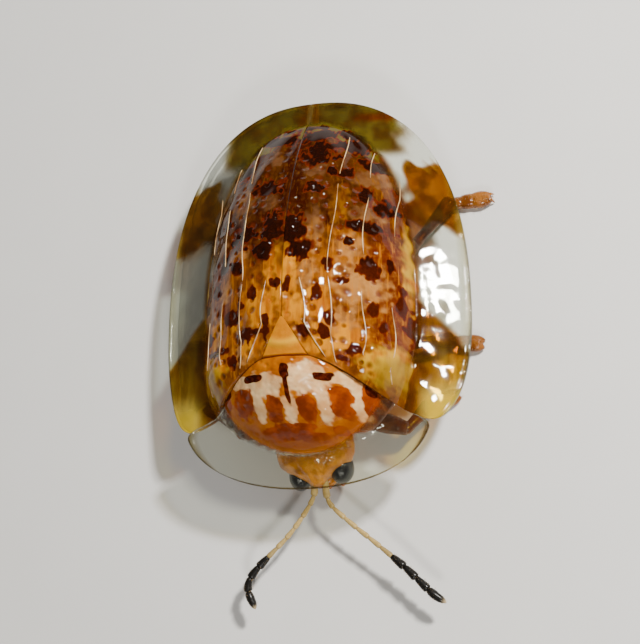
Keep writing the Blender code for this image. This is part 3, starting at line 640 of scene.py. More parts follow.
def wing_swell(x, y, seed):
    """The disc's gentle unevenness."""
    inside = ease(0.99, 0.93, dome_reach(x, y)[2])
    return 0.035 * ripple(x, y, seed + 1, 0.9) * inside * ease(0.0, 0.25, x - SEAM)


def ridge_wander(x, y, seed):
    """How far a ridge strays from its line."""
    return 0.03 * ripple(x, y, seed + 3, 1.4)


def wing_pits(x, y, seed):
    """How deep the pits are, in rows along the wing case: about 1 in the middle of a pit."""
    chance = random.Random(seed)
    pits = np.zeros_like(x)
    for number, line in enumerate(PIT_ROWS):
        station = 0.06 + 0.5 * PIT_SPACING * (number % 2)
        while station < 0.95:
            u = np.array(line + chance.uniform(-0.012, 0.012))
            v = np.array(station + chance.uniform(-0.3, 0.3) * PIT_SPACING)
            px, py = patch(u, v, wing_base, wing_tail, wing_suture, wing_side)
            radius = PIT_RADIUS * chance.uniform(0.7, 1.3)
            near = (np.abs(x - px) < radius) & (np.abs(y - py) < radius)
            away = np.hypot(x[near] - px, y[near] - py) / radius
            if chance.random() > 0.1:
                bowl = np.clip(1 - away**2, 0, 1) ** 1.25 * chance.uniform(0.7, 1.2)
                pits[near] = np.maximum(pits[near], bowl)
            station += PIT_SPACING
    return pits * ease(0.92, 0.68, dome_reach(x, y)[2]) * (1 - 0.6 * ease(2.2, 3.2, y))


def wing_crests(x, y, across, along, seed):
    """How high the ridges stand: 1 on a crest."""
    crest = np.zeros_like(x)
    for ridge, stretches in zip(RIDGES, RIDGE_STRETCHES):
        off = (across - ridge_line(ridge, along)) * HALF_WIDTH + ridge_wander(x, y, seed)
        for low, high in stretches:
            shown = ease(low - 0.01, low + 0.02, along) * ease(high + 0.02, high - 0.01, along)
            crest = np.maximum(crest, hump(off, CREST_WIDTH) * shown)
    return crest


def wing_values(side, seed, x, y, across, pits):
    """The markings that the points of one wing case carry."""
    reach = dome_reach(x, y)[2]
    wave = ripple(x, y, seed + 5, 0.5)
    shade_from, flank_light = SHADE_STARTS[side]
    shoulder = (y - LOBE_EDGE[0] - LOBE_EDGE[1] * (x - DISC_HALF)) / LOBE_LENGTH
    shoulder = 1 + shoulder + 0.04 * ripple(x, y, seed + 6, 0.8)
    (bar_x, bar_y), (bar_wide, bar_long), slant = BAR
    bar = np.abs(y - bar_y + slant * (x - bar_x)) / bar_long
    bar = np.maximum(np.abs(x - bar_x) / bar_wide, bar) + 0.15 * ripple(x, y, seed + 7, 0.6)
    rear = ease(2.35, 1.9, x + 0.08 * wave) * ease(2.9, 3.2, y)
    lobe = (ease(1.06, 0.93, shoulder), ease(1.12, 0.9, bar), rear, ease(1.06, 1.0, reach))
    # The shoulder lobe's tip: gold, and painted brighter as a glow of light coming through it.
    tip = ease(-2.1, -2.8, y) * ease(2.35, 2.75, x)
    tip_edge = 0.5 * ease(0.93, 1.0, shoulder) * ease(3.2, 3.45, x)
    dark_lobe = ease(0.6, 0.98, shoulder) * ease(-2.7, -2.1, y)
    dark_bar = ease(2.5, 1.9, y + 0.2 * wave) * ease(1.2, 1.0, bar)
    dark_foot = 0.9 * ease(1.17, 1.04, reach + 0.04 * wave)
    # Darker towards the hind end, and on the right wing case further forward: partly smoky colour,
    # partly painted shade.
    shade = ease(shade_from, shade_from + 0.85, y + 0.25 * wave + 0.35 * np.abs(x - 1.2))
    olive = ease(0.86, 0.93, reach + 0.025 * wave) * ease(2.5, 3.1, y) * ease(2.5, 2.0, x)
    seam_rim = 0.8 * ease(0.012, 0.004, across) * (reach > 1)
    shoulder_glass = ease(1.25, 0.95, np.hypot((x - 2.6) / 0.85, (y + 2.65) / 0.75))
    return {
        "dark": markings(DARK_MARKS[side], x, y, seed + 10, 0.34, 0.35),
        "haze": markings(HAZE_MARKS[side], x, y, seed + 20, 0.3, 0.6),
        "gold": markings(GOLD_MARKS[side], x, y, seed + 30, 0.3, 0.6),
        "rust": markings(RUST_MARKS[side], x, y, seed + 40, 0.3, 0.6),
        "yellow": 0.85 * markings(YELLOW_MARKS, x, y, seed + 50, 0.3, 0.7),
        "black": ease(-0.2, 0.35, y + 0.1 * wave),
        # The left wing case's outer flank gets less of the painted shade, as the lit side.
        "shade": shade * (1 - flank_light * ease(1.2, 2.2, x)),
        "pit": np.clip(1.7 * pits, 0, 1) * ease(0.35, 0.7, x),
        "olive": olive,
        "rim": np.maximum(ease(0.985, 0.993, across), seam_rim),
        "lobe": np.maximum.reduce(lobe),
        "lobe_tip": np.maximum(tip, tip_edge),
        "lobe_dark": np.maximum.reduce((dark_lobe, dark_bar, dark_foot)),
        "clear": np.maximum(ease(0.98, 1.015, reach + 0.012 * wave), 0.45 * shoulder_glass),
    }


def wing_case(side, seed, material):
    """One wing case, as a closed sheet whose points carry its markings."""
    columns = np.linspace(0, DISC_SHARE, DISC_COLUMNS, endpoint=False)
    columns = np.concatenate((columns, np.linspace(DISC_SHARE, 1, MARGIN_COLUMNS)))
    across, along = np.meshgrid(columns, np.linspace(0, 1, WING_ROWS))
    x, y = patch(across, along, wing_base, wing_tail, wing_suture, wing_side)
    reach = dome_reach(x, y)[2]
    pits = wing_pits(x, y, seed)
    crest = wing_crests(x, y, across, along, seed) * ease(0.99, 0.93, reach)
    groove = DISC_GROOVE * hump(reach - 1.0, 0.02)
    bead = RIM_BEAD * ease(0.975, 0.995, np.maximum(across, along))
    (swell_x, swell_y), (swell_wide, swell_long), swell_rise = SHOULDER_SWELL
    pillow = hump(x - swell_x, swell_wide) * hump(y - swell_y, swell_long)
    smooth = wing_height(x, y) + swell_rise * pillow * ease(1.0, 1.1, reach)
    top = smooth + wing_swell(x, y, seed) - groove + CREST_RISE * crest - PIT_DEPTH * pits + bead
    thick = MARGIN_THICKNESS + (DISC_THICKNESS - MARGIN_THICKNESS) * ease(1.0, 0.86, reach)
    thick = RIM_THICKNESS + (thick - RIM_THICKNESS) * ease(0.0, 0.02, 1 - across)
    points = leaf_points(SIDES[side] * x, y, top, smooth - thick)
    values = leaf_values(wing_values(side, seed, x, y, across, pits))
    name = "wing_case_" + side
    finished("shell_" + name, points, leaf_faces(*x.shape), material, "wing_case", [name], values)


def ridge_lines(side, seed, tree, sockets):
    """The pale lines on the crests of one wing case."""
    points, edges = [], []
    for ridge, stretches in zip(RIDGES, RIDGE_STRETCHES):
        for low, high in stretches:
            along = np.linspace(low, high, 60)
            across = ridge_line(ridge, along)
            for _ in range(3):
                x, y = patch(across, along, wing_base, wing_tail, wing_suture, wing_side)
                across = ridge_line(ridge, along) - ridge_wander(x, y, seed) / HALF_WIDTH
            z = wing_height(x, y) + wing_swell(x, y, seed) + CREST_RISE
            first = len(points)
            points += ((np.stack((SIDES[side] * x, y, z), -1) + SHELL_TO_ORIGIN) * MM).tolist()
            edges += [(i, i + 1) for i in range(first, len(points) - 1)]
    host = bpy.data.meshes.new("ridge_paths_" + side)
    host.from_pydata(points, edges, [])
    given = {"Radius": RIDGE_LINE_RADIUS * MM, "Sides": 8}
    run_tree("ridge_lines_" + side, tree, sockets, given, "wing_case", host)


wing_material = wing_chitin()
ridge_tools = ridge_tree(ridge_finish())
for side, seed in (("left", 11), ("right", 47)):
    wing_case(side, seed, wing_material)
    ridge_lines(side, seed, *ridge_tools)

# The scutellum is the small three-sided shield of orange chitin that fills the notch between the
# wing cases and the pronotum. It belongs to the body below, and the wing cases close against it.
SCUTELLUM_RIDGE = 0.05


def scutellum_chitin():
    """Clear orange chitin with a paler bar across it."""
    paint = Paint("scutellum_chitin")
    colour = paint.mix(paint.noise(10.0), (0.42, 0.12, 0.0), (0.62, 0.22, 0.0005))
    colour = paint.mix(paint.value("bar"), colour, (0.76, 0.38, 0.01))
    colour = paint.mix(paint.value("border"), colour, (0.18, 0.03, 0.001))
    shader = paint.surface(
        colour, 0.5, Normal=paint.bump(paint.noise(22.0, 2.0), 0.25, 0.02), Coat_Weight=0.5,
        Coat_Roughness=0.05, Specular_IOR_Level=0.0, Subsurface_Weight=0.15, Subsurface_Scale=0.0002,
    )
    return paint.finish(shader)


def scutellum():
    """The shield, its low ridge and the seam round it."""
    side, along = np.meshgrid(np.linspace(-1, 1, 61), np.linspace(0, 1, 81))
    front, rear = SCUTELLUM_BASE_Y + 0.015, SCUTELLUM_TIP_Y - 0.03
    y = front + (rear - front) * along
    half = (SCUTELLUM_HALF + 0.02) * (1 - along) ** 0.9 + 0.02
    x = half * side
    ridge = hump(along - 0.3 - 0.12 * side**2, 0.1)
    border = np.maximum(ease(0.93, 1.0, np.abs(side)), ease(0.03, 0.0, along))
    top = wing_height(np.zeros_like(x), y) + SCUTELLUM_RIDGE * ridge * (1 - side**2) - 0.05 * border
    top += 0.01 - 0.05 * side**2 * (1 - along)
    values = leaf_values({"bar": ridge * 0.8, "border": 0.7 * border}, 4)
    points, faces = leaf_points(x, y, top, top - 0.3, 4), leaf_faces(*x.shape, 4)
    finished("shell_scutellum", points, faces, scutellum_chitin(), "scutellum", ["scutellum"], values)


scutellum()

# The pronotum is the plate over the head and the first legs: one sheet of chitin, cream and orange
# with rust squares and dark bars over the body, and clear as glass in front and at the sides, where
# the head and the feelers show through it. It lies against the base of the wing cases.
PRONOTUM_HALF = 2.81
PRONOTUM_WIDEST_Y = -2.9
PRONOTUM_FRONT_Y = -4.5
FRONT_ROUNDNESS = 0.92
PRONOTUM_DOME_Y = -2.0
PRONOTUM_DOME_HALF = 2.2
PRONOTUM_DOME_LENGTH = 1.84
PRONOTUM_EDGE_Z = 1.95
PRONOTUM_RISE = 1.45
PRONOTUM_FULLNESS = 1.2
NOSE_FALL = 0.25
HIND_CORNER = (2.8, -3.18)
HIND_CORNER_TURN = math.radians(75)
FRONT_CORNER_TURN = math.radians(48)
PRONOTUM_BASE_SHARE = 0.82
# The shares of the base that lies behind the scutellum, and of the side that is the hind corner
SCUTELLUM_SHARE = 0.2
CORNER_SHARE = 0.35
BASE_SEAM = 0.012
PRONOTUM_COLUMNS = 193
PRONOTUM_ROWS = 150
DIMPLES = 260
DIMPLE_DEPTH = 0.014
# Half the opaque part's width, its length, and the marks on it as place and half sizes
PLATE_HALF = 1.95
PLATE_LENGTH = 1.8
PLATE_DARK = (
    (-0.78, -2.33, 0.24, 0.07), (0.77, -2.38, 0.2, 0.08), (0.0, -2.25, 0.1, 0.14),
    (0.01, -2.55, 0.05, 0.36), (1.62, -2.62, 0.1, 0.12), (-1.6, -2.5, 0.12, 0.1),
)
PLATE_RED = (
    (-0.36, -2.95, 0.18, 0.24), (0.35, -2.97, 0.19, 0.26), (1.06, -2.86, 0.22, 0.3),
    (1.6, -2.8, 0.15, 0.32), (-1.12, -2.76, 0.26, 0.27), (0.92, -3.38, 0.16, 0.09),
    (-1.66, -2.66, 0.14, 0.24), (-0.2, -3.38, 0.6, 0.15), (0.35, -3.5, 0.3, 0.1),
)
PLATE_CREAM = (
    (-0.55, -2.5, 0.5, 0.24), (0.5, -2.4, 0.42, 0.34), (0.0, -2.95, 0.16, 0.3),
    (0.72, -2.95, 0.14, 0.3), (1.35, -2.75, 0.2, 0.4), (1.15, -2.4, 0.3, 0.12),
    (-0.72, -2.85, 0.14, 0.3), (-1.15, -2.35, 0.3, 0.12),
)


def pronotum_height(x, y):
    """The plate's upper surface: a dome on a margin that sinks a little towards the head."""
    across = np.abs(x / PRONOTUM_DOME_HALF) ** ROUNDNESS
    along = np.clip((PRONOTUM_DOME_Y - y) / PRONOTUM_DOME_LENGTH, 0, None) ** ROUNDNESS
    share = (across + along) ** (1 / ROUNDNESS)
    dome = PRONOTUM_RISE * np.clip(1 - share**2, 0, None) ** PRONOTUM_FULLNESS
    forward = np.clip((PRONOTUM_DOME_Y - y) / (PRONOTUM_DOME_Y - PRONOTUM_FRONT_Y), 0, None)
    return PRONOTUM_EDGE_Z + dome - NOSE_FALL * forward**2


def pronotum_outline(turn):
    """The front edge: turn 0 at the middle of the front, a quarter turn where the plate is widest."""
    x = PRONOTUM_HALF * np.clip(np.sin(turn), 0, None) ** FRONT_ROUNDNESS
    depth = (PRONOTUM_WIDEST_Y - PRONOTUM_FRONT_Y) * np.clip(np.cos(turn), 0, None) ** FRONT_ROUNDNESS
    return x, PRONOTUM_WIDEST_Y - depth


def pronotum_base(t):
    """The rear edge of one half, which follows the scutellum and the wing case."""
    share = np.clip((t - SCUTELLUM_SHARE) / (1 - SCUTELLUM_SHARE), 0, 1)
    x, y = wing_base(share * PRONOTUM_BASE_SHARE)
    flat = t < SCUTELLUM_SHARE
    near_x = t / SCUTELLUM_SHARE * (SCUTELLUM_HALF + 0.05)
    return np.where(flat, near_x, x - 0.02), np.where(flat, SCUTELLUM_BASE_Y, y) - BASE_SEAM


def pronotum_side(t):
    """The side, from the base round the hind corner and on to where the front edge begins."""
    s = np.clip(t / CORNER_SHARE, 0, 1)
    start, end = pronotum_base(np.array(1.0)), pronotum_outline(HIND_CORNER_TURN)
    share = np.clip((t - CORNER_SHARE) / (1 - CORNER_SHARE), 0, 1)
    front = pronotum_outline(HIND_CORNER_TURN + share * (FRONT_CORNER_TURN - HIND_CORNER_TURN))
    place = []
    for i in (0, 1):
        corner = (1 - s) ** 2 * start[i] + 2 * s * (1 - s) * HIND_CORNER[i] + s**2 * end[i]
        place.append(np.where(t < CORNER_SHARE, corner, front[i]))
    return place


def pronotum_front(t):
    return pronotum_outline(t * FRONT_CORNER_TURN)


def pronotum_middle(t):
    y = SCUTELLUM_BASE_Y - BASE_SEAM + t * (PRONOTUM_FRONT_Y - SCUTELLUM_BASE_Y + BASE_SEAM)
    return np.zeros_like(y), y


def pronotum_chitin():
    """Cream and orange chitin with dark marks, clearing to glass round the edge."""
    paint = Paint("pronotum_chitin")
    fine = paint.noise(9.0, 4.0)
    broad = paint.noise(2.5)
    grain = paint.noise(26.0, 2.0)
    shift = paint.times(paint.plus(fine, -0.5), 0.45)
    colour = paint.mottled(broad, 0.3, 0.7, (0.3, 0.065, 0.0), (0.48, 0.14, 0.001))
    cream = paint.mottled(broad, 0.35, 0.65, (0.66, 0.33, 0.12), (0.86, 0.56, 0.27))
    red = paint.mottled(broad, 0.35, 0.65, (0.17, 0.022, 0.0), (0.34, 0.055, 0.0))
    dark = paint.mottled(fine, 0.35, 0.7, (0.025, 0.002, 0.0), (0.1, 0.01, 0.0))
    layers = (("cream", 0.15, 0.8, cream), ("red", 0.2, 0.7, red), ("dark", 0.25, 0.65, dark))
    for name, low, high, layer in layers:
        colour = paint.mix(paint.broken(name, shift, low, high), colour, layer)
    colour = paint.mix(paint.value("front_arc"), colour, (0.26, 0.055, 0.0))
    relief = paint.plus(fine, paint.times(grain, 0.3))
    disc = paint.lacquer(colour, paint.bump(relief, 0.15, 0.02), 0.1)
    tint = paint.mix(paint.value("rim"), (0.965, 0.975, 0.91), (0.5, 0.42, 0.2))
    margin = paint.glass(tint, paint.bump(broad, 0.12, 0.1), 0.005, (0.72, 0.76, 0.6))
    return paint.finish(paint.blend(paint.value("clear"), disc, margin))


def pronotum():
    """The plate, its soft relief, its dimples, its edge bead and its markings."""
    side = np.linspace(-1, 1, PRONOTUM_COLUMNS)
    side, along = np.meshgrid(side, np.linspace(0, 1, PRONOTUM_ROWS))
    edges = (pronotum_base, pronotum_front, pronotum_middle, pronotum_side)
    x, y = patch(np.abs(side), along, *edges)
    x = x * np.sign(side)
    ahead = np.clip((SCUTELLUM_BASE_Y - y) / PLATE_LENGTH, 0, None)
    reach = (np.abs(x / PLATE_HALF) ** 2.0 + ahead**2.0) ** 0.5
    smooth = pronotum_height(x, y)
    relief = 0.02 * ripple(x, y, 5, 0.5) * ease(1.0, 0.9, reach)
    hollows = 0.05 * sum(hump(np.hypot(x - cx, y + 2.45), 0.3) for cx in (-0.85, 0.85))
    groove = 0.03 * hump(reach - 1.0, 0.03)
    nearest = np.maximum(np.abs(side), along)
    bead = 0.025 * ease(0.965, 0.99, nearest) * (reach > 0.9)
    top = smooth + relief - hollows - groove + bead
    chance = random.Random(8)
    for _ in range(DIMPLES):
        turn, out = chance.uniform(0, math.pi), chance.uniform(0.1, 0.97)
        px = PLATE_HALF * out * math.cos(turn)
        py = -1.98 - PLATE_LENGTH * out * math.sin(turn)
        radius = chance.uniform(0.025, 0.05)
        near = (np.abs(x - px) < 3 * radius) & (np.abs(y - py) < 3 * radius)
        away = np.hypot(x[near] - px, y[near] - py) / radius
        top[near] = top[near] - DIMPLE_DEPTH * hump(away)
    thick = 0.1 + 0.2 * ease(1.0, 0.8, reach)
    thick = 0.06 + (thick - 0.06) * ease(0.0, 0.03, 1 - nearest)
    values = {
        "dark": markings(PLATE_DARK, x, y, 71, 0.1, 0.3, 3.0),
        "red": markings(PLATE_RED, x, y, 73, 0.14, 0.3, 3.0),
        "cream": markings(PLATE_CREAM, x, y, 72, 0.2, 0.4),
        "front_arc": 0.85 * hump(reach - 0.93, 0.05) * ease(1.5, 1.1, np.abs(x)),
        "rim": ease(0.985, 0.993, nearest) * (reach > 1),
        "clear": ease(0.985, 1.02, reach),
    }
    points, faces = leaf_points(x, y, top, smooth - thick), leaf_faces(*x.shape)
    material, values = pronotum_chitin(), leaf_values(values)
    finished("shell_pronotum", points, faces, material, "pronotum", ["pronotum"], values)


pronotum()

# The trunk hangs under the shell: the first segment behind the head, the broad chest with the hips
# of the legs in it, and the belly of five overlapping plates. It is darker brown chitin, finely
# pitted, and joined by soft skin in the grooves.


def body_chitin(name, light, dark, roughness=0.35):
    """Plain body chitin: mottled, finely pitted and half glossy."""
    paint = Paint(name)
    fine = paint.noise(12.0, 4.0)
    colour = paint.mottled(paint.noise(3.0), 0.3, 0.7, dark, light)
    colour = paint.mix(paint.ramp(fine, 0.5, 0.8, 0.0, 0.6), colour, dark)
    cells = paint.node("TexVoronoi", Vector=paint.place(), Scale=16.0)
    shader = paint.surface(
        colour, roughness, Normal=paint.bump(paint.plus(cells, fine), 0.4, 0.03), Coat_Weight=0.5,
        Coat_Roughness=0.12, Specular_IOR_Level=0.15, Subsurface_Weight=0.08, Subsurface_Scale=0.00015,
    )
    return paint.finish(shader)


def smoothed_copy(node, material):
    """A finer copy of a CAD node of the trunk, which it replaces: merged, softened and subdivided."""
    work = bmesh.new()
    work.from_mesh(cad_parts[node].data)
    bmesh.ops.remove_doubles(work, verts=work.verts, dist=1e-7)
    bmesh.ops.join_triangles(
        work, faces=work.faces, angle_face_threshold=0.7, angle_shape_threshold=0.9
    )
    bmesh.ops.recalc_face_normals(work, faces=work.faces)
    mesh = bpy.data.meshes.new("body_" + node)
    work.to_mesh(mesh)
    work.free()
    mesh.shade_smooth()
    mesh.materials.append(material)
    piece = placed("body_" + node, mesh)
    finer = piece.modifiers.new("finer", "SUBSURF")
    finer.levels = finer.render_levels = 2
    bake_modifiers(piece)
    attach(piece, "root")
    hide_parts(node)


trunk_material = body_chitin("trunk_chitin", (0.26, 0.075, 0.01), (0.09, 0.02, 0.004))
for node in ("prothorax", "thorax", "abdomen"):
    smoothed_copy(node, trunk_material)

# The head hangs under the clear front of the pronotum: an orange capsule with a broad brow that
# narrows to the roots of the feelers, a groove down its face, a lip, jaws and palps. It turns on a
# short neck.
HEAD_CENTRE = (-0.08, -3.48, 0.94)
HEAD_HALF = (0.9, 0.86, 0.56)
HEAD_TURN = math.radians(4)
NECK_Y = -3.51
LIMB_STOPS = 34
# How long a limb's round ends are, for each unit of its half width
CAP_LENGTH = 0.5


def ringed(route, widths, heights, sides):
    """Points and faces of a closed round bar along a route, with half widths and heights for it."""
    run = np.gradient(route, axis=0)
    across = np.cross(run, (0.0, 0.0, 1.0))
    across /= np.linalg.norm(across, axis=1)[:, None]
    top = np.cross(across, run / np.linalg.norm(run, axis=1)[:, None])
    turn = (np.arange(sides) * 2 * math.pi / sides)[:, None]
    rings = route[:, None] + across[:, None] * np.cos(turn) * widths[:, None, None]
    rings = rings + top[:, None] * np.sin(turn) * heights[:, None, None]
    points = np.concatenate((rings.reshape(-1, 3), route[:1], route[-1:]))
    return points, capped_faces(len(route), sides)


def rounded_bar(start, end, shape, sides, flatness=1.0, bend=(0.0, 0.0, 0.0)):
    """A closed limb from start to end: shape gives half widths at shares, and it ends in round caps."""
    shares = np.sin(np.linspace(-math.pi / 2, math.pi / 2, LIMB_STOPS)) * 0.5 + 0.5
    start, end = np.array(start, float), np.array(end, float)
    route = start + shares[:, None] * (end - start) + np.sin(shares * math.pi)[:, None] * np.array(bend)
    width = np.interp(shares, *zip(*shape))
    cap = np.minimum(shares, 1 - shares) * np.linalg.norm(end - start) / (CAP_LENGTH * width + 1e-9)
    width = width * np.sqrt(np.clip(1 - (1 - np.clip(cap, 0, 1)) ** 2, 0.0004, 1))
    return ringed(route, width, width * flatness, sides)


def merged(parts):
    """Points and faces of several closed shapes as one."""
    points, faces, count = [], [], 0
    for part_points, part_faces in parts:
        points.append(part_points)
        faces += [[count + index for index in face] for face in part_faces]
        count += len(part_points)
    return np.concatenate(points), faces


def egg(rings, sides):
    """The points of a unit ball as rings from pole to pole along Y, and its faces."""
    turn = np.arange(sides) * 2 * math.pi / sides
    lift, turn = np.meshgrid(np.linspace(0, math.pi, rings)[1:-1], turn, indexing="ij")
    ball = np.stack((np.sin(lift) * np.cos(turn), -np.cos(lift), np.sin(lift) * np.sin(turn)), -1)
    points = np.concatenate((ball.reshape(-1, 3), ((0, -1, 0), (0, 1, 0))))
    return points, capped_faces(rings - 2, sides)


def turned_head(points):
    """Points turned with the head about its neck."""
    cos, sin = math.cos(HEAD_TURN), math.sin(HEAD_TURN)
    x, y = points[:, 0], points[:, 1] - NECK_Y
    return np.stack((cos * x - sin * y, sin * x + cos * y + NECK_Y, points[:, 2]), -1)


def head_capsule():
    """The capsule: wide behind the eyes, drawn in towards the feelers, grooved down the face."""
    ball, faces = egg(90, 110)
    x, y, z = ball.T
    taper = 1 - 0.55 * ease(0.4, 1.0, -y) - 0.1 * ease(0.3, 1.0, y)
    drawn_in = np.stack((taper, np.ones_like(x), taper**0.4), -1)
    place = np.array(HEAD_CENTRE) + ball * np.array(HEAD_HALF) * drawn_in
    up = np.clip(z, 0, 1)
    place[:, 2] -= 0.05 * hump(x, 0.1) * ease(0.2, 0.8, -y) * up
    place[:, 2] -= 0.035 * hump(np.abs(x) - 0.5 - 0.25 * y, 0.07) * ease(0.0, 0.5, -y) * up
    place += ball * (0.012 * ripple(place[:, 0], place[:, 1], 9, 0.25))[:, None]
    return turned_head(place), faces


head_material = body_chitin("head_chitin", (0.72, 0.27, 0.001), (0.5, 0.155, 0.0), 0.28)
# A jaw and the two joints of a palp: from, to, half widths at both ends, and the sides round it
MOUTH_PARTS = (
    ((0.17, -4.12, 0.55), (0.06, -4.28, 0.32), (0.11, 0.05), 14),
    ((0.3, -3.95, 0.5), (0.4, -4.1, 0.33), (0.07, 0.06), 12),
    ((0.4, -4.1, 0.33), (0.35, -4.25, 0.27), (0.06, 0.04), 12),
)
parts = [head_capsule()]
for side in (-1, 1):
    socket, faces = egg(12, 16)
    socket = socket * (0.11, 0.1, 0.09) + np.array((side * 0.13, -4.13, 0.83))
    parts.append((turned_head(socket), faces))
    for (x, *start), (end_x, *end), (wide, narrow), sides in MOUTH_PARTS:
        shape = ((0, wide), (1, narrow))
        parts.append(rounded_bar((side * x, *start), (side * end_x, *end), shape, sides))
lip, faces = egg(16, 22)
parts.append((turned_head(lip * (0.28, 0.2, 0.16) + np.array((0, -4.12, 0.56))), faces))
finished("capsule_head", *merged(parts), head_material, "head", ["head"])

# Each eye is a black bulge of some hundreds of six-sided facets, set in a socket at the side of
# the head behind the root of the feeler.
FACET_RISE = 0.02
FACET_TOP = 0.62
# How much larger than the solids the eyes are, and how far they are moved: left, back and up
EYE_GROWTH = 1.1
EYE_SHIFTS = {"left": Vector((-0.09, -0.02, 0.0)), "right": Vector((0.06, -0.05, -0.04))}


def eye_lacquer():
    """Black facets with a deep gloss."""
    paint = Paint("eye_lacquer")
    colour = paint.mix(paint.noise(8.0), (0.002, 0.002, 0.003), (0.012, 0.01, 0.014))
    gloss = {"Specular_IOR_Level": 0.3, "Coat_Weight": 0.6, "Coat_Roughness": 0.04}
    return paint.finish(paint.surface(colour, 0.15, **gloss))


def facet_tree(material):
    """Geometry nodes: a ball of six-sided facets, each raised to a narrower top, and fitted in place."""
    inputs = (
        ("Middle", "Vector", (0.0, 0.0, 0.0)), ("Half Size", "Vector", (1.0, 1.0, 1.0)),
        ("Facet Rise", "Float", 0.02),
    )
    tree, sockets, given = new_tree("eye_facets", inputs)
    ball, dual, raised = new_nodes(tree, "MeshIcoSphere", "DualMesh", "ExtrudeMesh")
    shrunk, fitted = new_nodes(tree, "ScaleElements", "Transform")
    ball.inputs["Subdivisions"].default_value = 4
    raised.mode = "FACES"
    shrunk.inputs["Scale"].default_value = FACET_TOP
    wire(
        tree, (ball, "Mesh", dual, "Mesh"), (dual, 0, raised, "Mesh"),
        (given, "Facet Rise", raised, "Offset Scale"), (raised, "Mesh", shrunk, "Geometry"),
        (raised, "Top", shrunk, "Selection"), (shrunk, "Geometry", fitted, "Geometry"),
        (given, "Middle", fitted, "Translation"), (given, "Half Size", fitted, "Scale"),
    )
    end_tree(tree, fitted, "Geometry", material)
    return tree, sockets


eye_tools = facet_tree(eye_lacquer())
for side in SIDES:
    low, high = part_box("eye_" + side)
    middle = (low + high) / 2 + EYE_SHIFTS[side] * MM
    half = (high - low) / 2 * EYE_GROWTH
    given = {"Middle": tuple(middle), "Half Size": tuple(half), "Facet Rise": FACET_RISE}
    eye = run_tree("facets_eye_" + side, *eye_tools, given, "eye")
    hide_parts("eye_" + side)

# The feelers are two threads of eleven joints, rooted close together between the eyes. The first
# seven joints are pale straw, the last four are thicker, black and downy, with a paler tip.
FEELER_ROUTES = {
    "left": (
        (0.13, -4.1, 0.88), (0.15, -4.5, 0.85), (0.27, -4.77, 0.83), (0.71, -5.17, 0.81),
        (1.3, -5.65, 0.77), (1.91, -6.17, 0.73), (2.44, -6.68, 0.69), (2.75, -6.9, 0.66),
    ),
    "right": (
        (-0.13, -4.1, 0.88), (-0.14, -4.5, 0.85), (-0.33, -4.86, 0.83), (-0.73, -5.36, 0.8),
        (-1.24, -5.84, 0.77), (-1.6, -6.2, 0.74), (-1.72, -6.52, 0.7), (-1.55, -6.95, 0.66),
    ),
}
FEELER_JOINTS = (0.5, 0.26, 0.36, 0.36, 0.34, 0.34, 0.34, 0.36, 0.36, 0.36, 0.5)
FEELER_RADIUS = 0.062
CLUB_RADIUS = 0.098
CLUB_FROM = 7
JOINT_STOPS = 15
JOINT_SIDES = 14


def smooth_route(points, steps=24):
    """Many points on a smooth curve through the given ones, and how far along it each lies."""
    ends = [Vector(p) for p in points]
    ends = [ends[0] * 2 - ends[1], *ends, ends[-1] * 2 - ends[-2]]
    dense = []
    for a, b, c, d in zip(ends, ends[1:], ends[2:], ends[3:]):
        for step in range(steps):
            t = step / steps
            bend = (2 * a - 5 * b + 4 * c - d) * t**2 + (3 * b - a - 3 * c + d) * t**3
            dense.append(0.5 * (2 * b + (c - a) * t + bend))
    dense = np.array([*dense, ends[-2]])
    reach = np.concatenate(([0], np.cumsum(np.linalg.norm(np.diff(dense, axis=0), axis=1))))
    return dense, reach


def feeler_chitin():
    """Straw-coloured chitin that turns black on the club and pale again at its very tip."""
    paint = Paint("feeler_chitin")
    fine = paint.noise(20.0)
    straw = paint.mix(fine, (0.3, 0.19, 0.05), (0.62, 0.45, 0.17))
    club = paint.mix(fine, (0.002, 0.002, 0.0015), (0.014, 0.012, 0.01))
    colour = paint.mix(paint.value("club"), straw, club)
    colour = paint.mix(paint.value("tip"), colour, (0.55, 0.42, 0.24))
    gloss = {"Coat_Weight": 0.3, "Coat_Roughness": 0.2, "Specular_IOR_Level": 0.15}
    return paint.finish(paint.surface(colour, 0.38, Normal=paint.bump(fine, 0.4, 0.02), **gloss))


